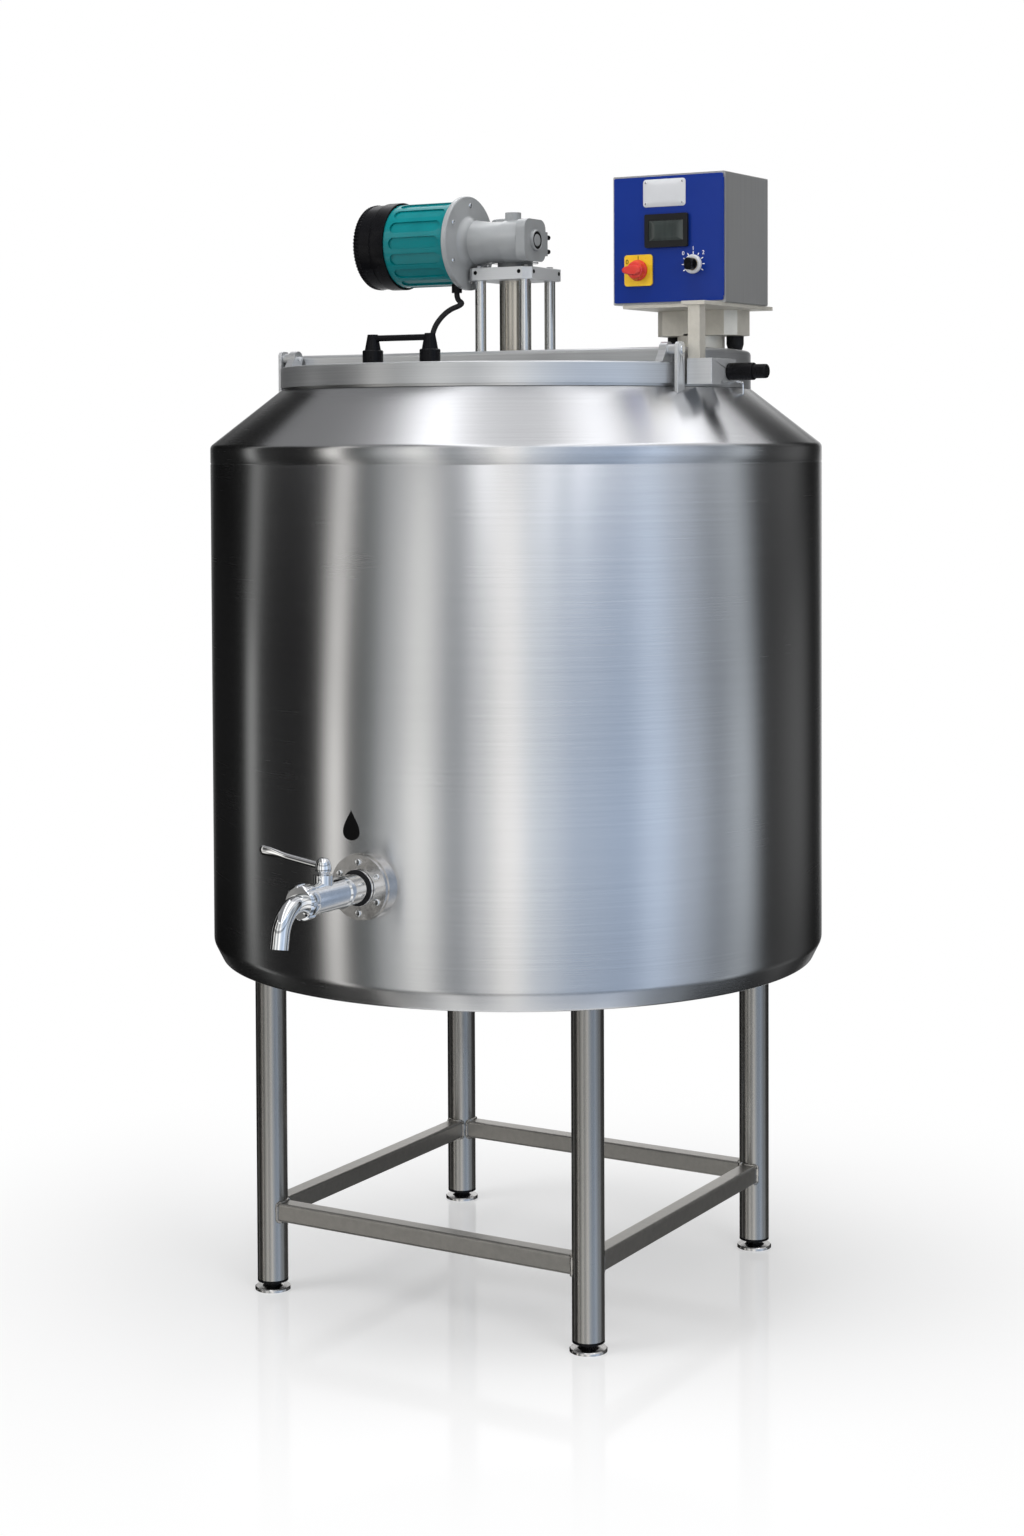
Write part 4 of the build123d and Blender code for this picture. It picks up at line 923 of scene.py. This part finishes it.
@dataclass
class LidAndCover(SubAssembly):
    """Hinged front lid, fixed rear cover and what stands on them."""

    DRESS = ((Palette.LID_RIM, "front_lid rear_cover"), (Palette.SEAL, "lid_seal"),
             (Palette.BLACK, "lid_handle", 0.0008), (Palette.CAP, "hinge_ears", 0.0008),
             (Palette.CHROME, "hinge_pins"), (Palette.INNER, "temperature_probe"))
    WASHER = ((0.0046, 0.0, 0), (0.0098, 0.0, 0), (0.0098, 0.0012, 0.0006), (0.0046, 0.0014, 0),
              (0.0046, 0.0, 0))
    washer_place: Point = (0.3731, -0.135, 1.5125)

    def details(self) -> None:
        """Rounded washer behind each hinge pin's head, outside the ears."""
        profile = rounded_line(*self.WASHER)
        x, y, z = self.washer_place
        grids = [turned(profile * (1, way), 40, (way * x, y, z), Axis.X) for way in (1, -1)]
        self.add("hinge_pin_washers", Palette.CAP, *grids)


@dataclass
class MotorStand(SubAssembly):
    """Pillars and plate that carry the gearmotor, and the tube round the shaft."""

    DRESS = ((Palette.PILLAR, "stand_pillars"), (Palette.PLATE, "motor_plate"),
             (Palette.CHROME, "stand_screws"), (Palette.TUBE, "shaft_tube"))
    SCREW = ((0.0, -0.0008), (0.0034, -0.0008), (0.0034, 0.0), (0.0030, 0.0004), (0.0012, 0.0001), (0.0, 0.0))
    half: float = 0.059
    screw_reach: float = 0.041
    screw_height: float = 1.648

    def details(self) -> None:
        """Small screws in the plate's front and right edges, each a dark dished disc."""
        ways = (-self.screw_reach, self.screw_reach)
        places = [((x, -self.half, self.screw_height), Axis.FRONT) for x in ways]
        places += [((self.half, y, self.screw_height), Axis.X) for y in ways]
        grids = [turned(np.array(self.SCREW), 28, place, axis) for place, axis in places]
        self.add("plate_set_screws", Palette.BLACK_MARK_AND_SHADE, *grids)


@dataclass
class Gearmotor(SubAssembly):
    """Motor, bell flange and worm gearbox, with the motor's cable, its profiles as for the tap."""

    DRESS = ((Palette.GREY, "gearbox_housing gearbox_cap motor_flange"),
             (Palette.BLACK, "gearbox_bolts", 0.0006), (Palette.BRONZE, "worm_wheel"),
             (Palette.CORE, "rotor stator"), (Palette.TEAL, "motor_housing"),
             (Palette.BLACK, "fan_cover cooling_fan cable_glands"))
    HOOP = ((0.0690, -0.1885, 0), (0.0722, -0.1885, 0.001), (0.0722, -0.2130, 0.0015),
            (0.0700, -0.2165, 0.001), (0.0690, -0.2165, 0), (0.0690, -0.1885, 0))
    LIP = ((0.0140, 0.0649, 0), (0.0168, 0.0649, 0), (0.0164, 0.0664, 0.0006), (0.0146, 0.0664, 0.0006),
           (0.0140, 0.0649, 0))
    BOSS = ((0, 0.0649, 0), (0.0100, 0.0649, 0), (0.0092, 0.0660, 0.0006), (0.0030, 0.0658, 0.001),
            (0, 0.0656, 0))
    # Painted shade: flat dark ring between the cap's lip and boss, in place of the shade in its groove
    GROOVE_SHADE = ((0.0100, 0.0646, 0), (0.0142, 0.0646, 0), (0.0142, 0.06515, 0), (0.0100, 0.06515, 0),
              (0.0100, 0.0646, 0))
    # Finned band: place along the axis, radius, and depth of the fins there
    FINS = ((-0.2365, 0.0690, 0.0), (-0.2365, 0.0702, 0.0), (-0.2380, 0.0704, 0.0006),
            (-0.2450, 0.0688, 0.0011), (-0.2492, 0.0652, 0.0011), (-0.2498, 0.0636, 0.0),
            (-0.2380, 0.0672, 0.0), (-0.2365, 0.0690, 0.0))
    ROUTE = ((-0.082, -0.050, 1.617), (-0.082, -0.050, 1.606), (-0.062, -0.060, 1.598),
             (-0.087, -0.075, 1.587), (-0.105, -0.091, 1.556), (-0.105, -0.091, 1.536))
    axis_y: float = -0.040
    axis_z: float = 1.698
    bell_face: float = -0.0618
    bell_circle: float = 0.062
    screw_head: Pair = (0.0042, 0.0026)
    cable_radius: float = 0.0045
    cable_length: float = 0.107

    def details(self) -> None:
        """Add the fan cover's fins and hoop, the cap's rings with a dark ring of painted shade in its groove,
        the bell's screws and the cable.
        """
        self.cover_fins()
        self.add("fan_cover_hoop", Palette.BLACK, self.ring(self.HOOP, 120))
        self.add("cap_lip_and_boss", Palette.GREY, self.ring(self.LIP, 64), self.ring(self.BOSS, 64))
        self.add("cap_groove_shade", Palette.BLACK_MARK_AND_SHADE, self.ring(self.GROOVE_SHADE, 64))
        self.bell_screws()
        self.cable()

    def ring(self, corners: Sequence[tuple[float, float, float]], count: int) -> Grid:
        """Corners of a profile, rounded and turned about the motor's axis."""
        return turned(rounded_line(*corners), count, (0, self.axis_y, self.axis_z), Axis.X)

    def cover_fins(self) -> None:
        """Finned band round the fan cover: the radius steps in and out with the angle."""
        angle = ring_angles(720)
        fin = np.clip(np.sin(72 * angle) * 3.0, -1, 1)
        rows = [points(x, self.axis_y + (radius + depth * fin) * np.cos(angle),
                       self.axis_z + (radius + depth * fin) * np.sin(angle))
                for x, radius, depth in self.FINS]
        self.add("fan_cover_fins", Palette.BLACK, (np.stack(rows), False, True))

    def bell_screws(self) -> None:
        """Six domed screws in the bell's front face."""
        around = self.bell_circle
        places = [(self.bell_face, self.axis_y + around * cos(a), self.axis_z + around * sin(a))
                  for a in ring_angles(6) + pi / 6]
        grids = [turned(dome(*self.screw_head), 28, place, Axis.X) for place in places]
        self.add("bell_screws", Palette.CHROME, *grids)

    def cable(self) -> None:
        """Motor cable, a smooth spline from its gland under the motor down to the gland on the rear cover."""
        curve = bpy.data.curves.new("motor_supply_cable", "CURVE")
        curve.dimensions = "3D"
        curve.resolution_u = 12
        curve.bevel_depth = self.cable_radius
        curve.bevel_resolution = 5
        curve.use_fill_caps = True
        spline = curve.splines.new("NURBS")
        spline.points.add(len(self.ROUTE) - 1)
        for point, place in zip(spline.points, self.ROUTE):
            point.co = (*place, 1.0)
        spline.order_u = 3
        spline.use_endpoint_u = True
        item = self.settle(link("motor_supply_cable", curve), Palette.RUBBER)
        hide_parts("motor_cable")


@dataclass
class ControlBox(SubAssembly):
    """Control box with its door and what sits on the door, its profiles as for the tap."""

    DRESS = ((Palette.BOX, "control_box"), (Palette.BLUE, "control_door", 0.0006),
             (Palette.BEZEL, "display", 0.0006), (Palette.YELLOW, "control_bezels", 0.0006),
             (Palette.BLACK, "selector_knob", 0.0006), (Palette.GREY_PLASTIC, "control_gear"))
    HUB = ((0, 0.0033, 0), (0.0165, 0.0033, 0), (0.0165, 0.0068, 0.001), (0.0148, 0.0090, 0.0015),
           (0.0135, 0.0165, 0.002), (0, 0.0172, 0))
    DIAL = ((0.0098, 0.0046, 0), (0.0098, 0.0054, 0.0002), (0.0132, 0.0054, 0.0006), (0.0148, 0.0038, 0.0006),
            (0.0148, 0.0001, 0), (0.0134, 0.0001, 0), (0.0134, 0.0034, 0), (0.0120, 0.0046, 0),
            (0.0098, 0.0046, 0))
    # Grip and tick: scale and height of each ring of the raised plate
    GRIP = ((0.0, 0.0100), (1.0, 0.0100), (1.0, 0.0172), (0.94, 0.0194), (0.82, 0.0204), (0.4, 0.0204),
            (0.0, 0.0204))
    TICK = ((0.0, -0.0002), (1.0, -0.0002), (1.0, 0.0002), (0.0, 0.0002))
    face_y: float = -0.0601
    plate_center: Pair = (0.306, 1.760)
    plate_size: Pair = (0.074, 0.043)
    plate_corner: float = 0.005
    plate_heights: Point = (-0.0002, 0.0007, 0.0010)
    rivet_reach: Pair = (0.032, 0.0165)
    rivet_head: Point = (0.0019, 0.0011, 0.0010)
    display_center: Pair = (0.3105, 1.701)
    pane_size: Pair = (0.0606, 0.0316)
    pane_corner: float = 0.0015
    pane_heights: Point = (0.0036, 0.0042, 0.0044)
    switch_center: Pair = (0.261, 1.6405)
    switch_plate: float = 0.003
    grip_shift: float = 0.0045
    grip_reach: float = 0.0165
    grip_half: float = 0.0078
    grip_taper: float = 0.0024
    selector_center: Pair = (0.356, 1.647)
    tick_circle: float = 0.0178
    tick_size: Pair = (0.0014, 0.0040)
    number_circle: float = 0.0245
    number_depth: float = 0.00025
    dial_number: float = 0.0062
    switch_number: float = 0.0075

    def details(self) -> None:
        """Add the bare plate, the grip, the pane, the dial ring and the marks."""
        self.switch_grip()
        self.plates()
        self.add("dial_ring", Palette.SILVER, self.disc(rounded_line(*self.DIAL), 72, self.selector_center),
                 body="door")
        self.dial_marks()
        self.switch_marks()

    def disc(self, profile: np.ndarray, count: int, center: Pair) -> Grid:
        """Profile of (radius, height over the door), turned about an axis square on the door."""
        return turned(profile, count, (center[0], self.face_y, center[1]), Axis.FRONT)

    def plate(self, name: str, finish: Finish, outline: np.ndarray, heights: Point, center: Pair) -> None:
        """Flat plate on the door, with the heights of its back, its front's edge and its front."""
        grid = raised_plate(outline, plate_rings(*heights), on_front(center, self.face_y))
        self.add(name, finish, grid, body="door")

    def plates(self) -> None:
        """Bare brushed plate with four rivets, and the glossy pane sunk in the display's frame."""
        self.plate("bare_plate", Palette.SILVER, rounded_rectangle(*self.plate_size, self.plate_corner),
                   self.plate_heights, self.plate_center)
        (x, z), (across, up) = self.plate_center, self.rivet_reach
        grids = [self.disc(dome(*self.rivet_head), 20, (x + u * across, z + v * up))
                 for u in (-1, 1) for v in (-1, 1)]
        self.add("plate_rivets", Palette.CHROME, *grids, body="door")
        self.plate("display_pane", Palette.WINDOW, rounded_rectangle(*self.pane_size, self.pane_corner),
                   self.pane_heights, self.display_center)

    def switch_grip(self) -> None:
        """Rotary grip: a round hub and a bar whose half width falls with the square of the way to its tip."""
        x, z = self.switch_center
        t = ring_angles(96)
        reach = np.sign(np.cos(t)) * np.abs(np.cos(t)) ** 0.6
        wide = np.sign(np.sin(t)) * np.abs(np.sin(t)) ** 0.75
        half = self.grip_half - self.grip_taper * (1 - reach) ** 2 / 4
        outline = points(self.grip_reach * reach, half * wide)
        grip = self.add("switch_grip", Palette.RED, self.disc(rounded_line(*self.HUB), 64, (x, z)),
                        raised_plate(outline, self.GRIP, on_front((x - self.grip_shift, z), self.face_y)),
                        body="switch_handle")
        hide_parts("main_switch")

    def tick(self, angle: float) -> Grid:
        """Thin raised bar beside the selector.

        Args:
            angle: its place and its turn from upright, in radians, clockwise.

        Returns:
            The bar's surface.
        """
        outline = rounded_rectangle(*self.tick_size, min(self.tick_size) * 0.45, 4)
        turn = np.array([[cos(angle), -sin(angle)], [sin(angle), cos(angle)]])
        x, z = self.selector_center
        center = (x + self.tick_circle * sin(angle), z + self.tick_circle * cos(angle))
        return raised_plate(outline @ turn, self.TICK, on_front(center, self.face_y))

    def dial_marks(self) -> None:
        """White ticks round the selector and three plain numbers at its top."""
        ticks = [self.tick(angle) for angle in np.radians(range(-120, 121, 30))]
        self.add("dial_ticks", Palette.WHITE_MARK, *ticks, body="door")
        x, z = self.selector_center
        for number, angle in enumerate((-45.0, 0.0, 45.0)):
            place = (x + self.number_circle * sin(radians(angle)), self.face_y,
                     z + self.number_circle * cos(radians(angle)))
            self.number(f"dial_number_{number}", str(number), place, self.dial_number, Palette.WHITE_MARK)

    def switch_marks(self) -> None:
        """Plain numbers 0 and 1 on the switch's square plate."""
        x, z = self.switch_center
        for number, (u, v) in enumerate(((-0.0195, 0.0135), (0.0, 0.0195))):
            place = (x + u, self.face_y - self.switch_plate, z + v)
            self.number(f"switch_number_{number}", str(number), place, self.switch_number,
                        Palette.BLACK_MARK_AND_SHADE)

    def number(self, name: str, text: str, place: Point, size: float, finish: Finish) -> None:
        """Plain number standing a little proud of a face that looks to the front.

        Args:
            name: the piece's name.
            text: the digit.
            place: its middle on the face.
            size: its height in metres.
            finish: its finish.
        """
        letters = bpy.data.curves.new(name, "FONT")
        letters.body = text
        letters.size = size / 0.72
        letters.align_x = "CENTER"
        letters.align_y = "CENTER"
        letters.extrude = self.number_depth
        source = link(name + "_outline", letters)
        bpy.context.view_layer.update()
        mesh = bpy.data.meshes.new_from_object(source)
        bpy.data.objects.remove(source)
        mesh.transform(Matrix.Translation(Vector(place)) @ Matrix.Rotation(radians(90), 4, "X"))
        self.settle(link(name, mesh), finish, "door")


@dataclass
class BoxSupport(SubAssembly):
    """Pole, bracket, tray and grip under the control box."""

    DRESS = ((Palette.SUPPORT, "box_pole support_tray", 0.001), (Palette.RUBBER, "support_buffers", 0.001),
             (Palette.CAP, "pole_bracket", 0.0008), (Palette.BLACK, "clamp_grip"))
    loop_start: Point = (0.3846, 0.030, 1.4660)
    loop_reach: float = 0.0135
    loop_dip: float = 0.0030
    loop_drop: float = 0.015
    loop_curl: float = 0.0045
    wire_radius: float = 0.0016

    def details(self) -> None:
        """Small wire loop on the cover's right side: out, down and curled back in half a turn."""
        turn = np.linspace(0, 1, 40)
        bend = pi * np.clip((turn - 0.45) / 0.55, 0, 1)
        out = np.clip(turn / 0.2, 0, 1) * pi / 2
        down = np.clip((turn - 0.2) / 0.25, 0, 1)
        x, y, z = self.loop_start
        across = x + self.loop_reach * np.sin(out) - self.loop_curl * (1 - np.cos(bend))
        level = z - self.loop_dip * (1 - np.cos(out)) - self.loop_drop * down - self.loop_curl * np.sin(bend)
        wire = along_path(points(across, y, level), self.wire_radius, None, 10, False, (0, 1, 0))
        self.add("wire_loop", Palette.CHROME, wire)


# Reflected surroundings: degrees to the right of the camera's direction and the colour there, then height
# and brightness on the wall, then the way to the right in metres and brightness on the ceiling
CARDS = (
    (-180, 1.0, 1.0, 1.0), (-171, 0.85, 0.85, 0.85), (-166, 0.28, 0.28, 0.28), (-160, 0.11, 0.11, 0.11),
    (-153, 0.01, 0.01, 0.01), (-118, 0.01, 0.01, 0.01), (-112, 0.42, 0.42, 0.41), (-106, 0.03, 0.03, 0.03),
    (-87, 0.02, 0.02, 0.02), (-76, 0.02, 0.02, 0.02), (-67.5, 1.25, 1.22, 1.17), (-61, 0.08, 0.08, 0.08),
    (-55, 0.16, 0.17, 0.17), (-46, 0.6, 0.61, 0.61), (-35, 1.12, 1.11, 1.08), (-22, 0.36, 0.38, 0.4),
    (-13, 0.78, 0.79, 0.8), (-3, 1.32, 1.29, 1.25), (8, 0.8, 0.86, 0.94), (22, 0.54, 0.63, 0.77),
    (38, 0.48, 0.58, 0.74), (50, 0.72, 0.84, 1.03), (64, 0.52, 0.58, 0.67), (76, 0.31, 0.34, 0.38),
    (88, 0.52, 0.56, 0.6), (101, 0.05, 0.05, 0.05), (124, 0.11, 0.11, 0.11), (142, 0.015, 0.015, 0.015),
    (153, 0.04, 0.04, 0.04), (161, 0.48, 0.48, 0.48), (169, 0.85, 0.85, 0.85), (180, 1.0, 1.0, 1.0))
BANDS = (
    (-15.0, 1.0), (-8.5, 0.9), (-7.0, 0.22), (-4.6, 0.22), (-3.2, 1.1), (-1.7, 1.1), (-1.3, 0.4), (-0.7, 0.4),
    (-0.3, 1.15), (1.9, 1.15), (2.2, 0.5), (2.7, 0.5), (3.0, 1.15), (4.0, 0.9), (5.2, 0.9), (6.0, 2.2))
STRIPES = (
    (-7.0, 0.3), (-3.0, 0.26), (-2.4, 0.28), (-2.0, 0.5), (-1.7, 1.1), (-1.4, 2.0), (-1.1, 2.0), (-0.8, 1.2),
    (-0.5, 0.92), (0.0, 0.84), (0.5, 0.84), (0.85, 1.2), (1.2, 1.7), (1.5, 1.7), (1.75, 0.8), (2.0, 0.7),
    (2.3, 1.4), (2.6, 2.6), (2.8, 2.4), (3.1, 0.8), (7.0, 0.6))


@dataclass
class Studio:
    """Camera, floor, lamps and the screen of tones that the steel reflects."""

    LAMPS = (("lamp_left", (-3.2, -3.6, 3.6), 2.6, 110.0), ("lamp_right", (4.6, -2.2, 3.0), 2.4, 70.0),
             ("lamp_top", (0.3, -0.5, 5.2), 2.2, 110.0))
    azimuth: float = 30.466
    distance: float = 4.263
    height: float = 1.369
    pitch: float = 2.11
    roll: float = -0.24
    focal_pixels: float = 2587.6
    center_pixel: Pair = (516.4, 539.3)
    frame_pixels: Pair = (1024.0, 1536.0)
    sensor: float = 36.0
    aim_height: float = 1.1
    wall_radius: float = 7.0
    wall_heights: Pair = (-15.0, 6.0)
    soft_light: float = 0.55
    floor_radius: float = 14.0

    def camera(self) -> None:
        """Camera at the photograph's place, with the frame shifted on the sensor."""
        data = bpy.data.cameras.new("camera")
        width, tall = self.frame_pixels
        data.sensor_width = self.sensor
        data.lens = self.focal_pixels * data.sensor_width / tall
        data.shift_x = (width / 2 - self.center_pixel[0]) / tall
        data.shift_y = (self.center_pixel[1] - tall / 2) / tall
        data.clip_end = 200.0
        az, pitch, roll = radians(self.azimuth), radians(self.pitch), radians(self.roll)
        level, right, up = Vector((-sin(az), cos(az), 0)), Vector((cos(az), sin(az), 0)), Vector((0, 0, 1))
        look = level * cos(pitch) - up * sin(pitch)
        top = level * sin(pitch) + up * cos(pitch)
        side = right * cos(roll) + top * sin(roll)
        top = top * cos(roll) - right * sin(roll)
        place = Vector((sin(az) * self.distance, -cos(az) * self.distance, self.height))
        item = link("camera", data)
        item.matrix_world = Matrix.Translation(place) @ Matrix((side, top, -look)).transposed().to_4x4()
        bpy.context.scene.camera = item

    def seen(self, nodes: Nodes) -> Socket:
        """Factor that is 1 for camera, glossy and transmission rays.

        Args:
            nodes: the tree that it is added to.

        Returns:
            The factor.
        """
        rays = nodes.add("ShaderNodeLightPath").node.outputs
        both = nodes.add("ShaderNodeMath", rays["Is Camera Ray"], rays["Is Glossy Ray"],
                         settings={"operation": "ADD"})
        return nodes.add("ShaderNodeMath", both, rays["Is Transmission Ray"],
                         settings={"operation": "ADD", "use_clamp": True})

    def world(self) -> None:
        """White surroundings for the eye and for reflections, and a softer light for the rest."""
        world = bpy.data.worlds.new("studio")
        bpy.context.scene.world = world
        nodes = Nodes(world)
        soft = nodes.tree.nodes["Background"]
        nodes.feed(soft, {"Color": WHITE, "Strength": self.soft_light})
        white = nodes.add("ShaderNodeBackground", WHITE)
        both = nodes.add("ShaderNodeMixShader", self.seen(nodes), soft.outputs[0], white)
        nodes.feed(nodes.tree.nodes["World Output"], {"Surface": both})

    def card(self, name: str, places: np.ndarray, across: Sequence[tuple[float, Color]],
             upward: Sequence[Pair]) -> None:
        """Glowing card that only reflections see: a colour ramp along its rows times a tone ramp across them.

        Args:
            name: its name.
            places: points of its low row, then of its high row.
            across: share of the way along the rows, and colour, of each tone.
            upward: share of the way up, and brightness, of each band.
        """
        columns = len(places) // 2
        mesh = bpy.data.meshes.new(name)
        mesh.from_pydata(places.tolist(), [], grid_faces(2, columns).tolist())
        corner = np.zeros(len(mesh.loops), int)
        mesh.loops.foreach_get("vertex_index", corner)
        share = np.column_stack([(corner % columns) / (columns - 1), (corner >= columns).astype(float)])
        mesh.uv_layers.new(name="around").data.foreach_set("uv", share.ravel())
        nodes = Nodes(bpy.data.materials.new(name + "_tones"))
        nodes.tree.nodes.remove(nodes.tree.nodes["Principled BSDF"])
        way = nodes.add("ShaderNodeUVMap", settings={"uv_map": "around"})
        parts = nodes.add("ShaderNodeSeparateXYZ", way).node.outputs
        levels = [(place, (tone, tone, tone)) for place, tone in upward]
        glow = nodes.add("ShaderNodeEmission", nodes.ramp(parts["X"], across, "EASE"),
                         nodes.ramp(parts["Y"], levels, "EASE"))
        nodes.feed(nodes.tree.nodes["Material Output"], {"Surface": glow})
        mesh.materials.append(nodes.owner)
        item = link(name, mesh)
        item.visible_camera = item.visible_diffuse = item.visible_shadow = item.visible_transmission = False

    def screen(self) -> None:
        """Tall round wall seen only in reflections, and a striped ceiling over it."""
        radius, (low, high) = self.wall_radius, self.wall_heights
        az = radians(self.azimuth)
        angle = np.linspace(-pi, pi, 361) + az
        rows = [points(radius * np.sin(angle), -radius * np.cos(angle), level) for level in (low, high)]
        self.card("card_wall", np.concatenate(rows),
                  [((turn + 180.0) / 360.0, tuple(color)) for turn, *color in CARDS],
                  [((level - low) / (high - low), tone) for level, tone in BANDS])
        right, away = np.array([cos(az), sin(az)]), np.array([-sin(az), cos(az)])
        corners = [np.append((u * right + v * away) * radius, high) for v in (-1, 1) for u in (-1, 1)]
        self.card("card_ceiling", np.array(corners),
                  [((reach / radius + 1) / 2, (tone, tone, tone * 1.02)) for reach, tone in STRIPES],
                  [(0.0, 1.0), (1.0, 1.0)])

    def floor(self) -> None:
        """Pale glossy floor that fades to white away from the object."""
        angle = ring_angles(96)
        radii = np.concatenate([[0.0], np.linspace(0.5, self.floor_radius, 12)])
        grid = radii[:, None, None] * points(np.cos(angle), np.sin(angle), 0.0)[None]
        plane = make_object("floor", [(grid, False, True)])
        sheet = Sheet("floor_white")
        sheet.tint(sheet.even(0.7, detail=1.0), (0.86, 0.86, 0.865), (0.88, 0.88, 0.885))
        sheet.set(Roughness=0.09, Specular_IOR_Level=0.9)
        away = sheet.add("ShaderNodeVectorMath", sheet.place, out="Value", settings={"operation": "LENGTH"})
        fade = sheet.add("ShaderNodeMapRange", away, From_Min=0.2, From_Max=1.35, To_Min=0.34,
                         settings={"interpolation_type": "SMOOTHSTEP"})
        share = sheet.add("ShaderNodeMath", fade, self.seen(sheet), settings={"operation": "MULTIPLY"})
        glow = sheet.add("ShaderNodeEmission", WHITE)
        both = sheet.add("ShaderNodeMixShader", share, sheet.shader.outputs[0], glow)
        sheet.feed(sheet.tree.nodes["Material Output"], {"Surface": both})
        plane.data.materials.append(sheet.owner)
        plane.visible_glossy = False

    def lamp(self, name: str, place: Point, size: float, power: float) -> None:
        """Soft square lamp aimed at the vessel, which doesn't show in reflections.

        Args:
            name: the lamp's name.
            place: where it hangs.
            size: its side in metres.
            power: its power in watts.
        """
        data = bpy.data.lights.new(name, "AREA")
        data.size = size
        data.energy = power
        item = link(name, data)
        aim = Vector((0, 0, self.aim_height)) - Vector(place)
        item.rotation_euler = aim.to_track_quat("-Z", "Y").to_euler()
        item.location = place
        item.visible_glossy = False

    def build(self) -> None:
        """Set up the whole studio."""
        bpy.context.scene.view_settings.view_transform = "Standard"
        self.camera()
        self.world()
        self.screen()
        self.floor()
        for lamp in self.LAMPS:
            self.lamp(*lamp)
        LOG.info("studio ready")


def main() -> None:
    """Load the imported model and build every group."""
    logging.basicConfig(level=logging.INFO, format="%(name)s: %(message)s")
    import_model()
    palette = Palette()
    for group in (Vessel, Stand, MilkTap, LidAndCover, MotorStand, Gearmotor, ControlBox, BoxSupport):
        part = group(palette)
        part.build()
        part.report()
    Studio().build()


if __name__ == "__main__":
    main()
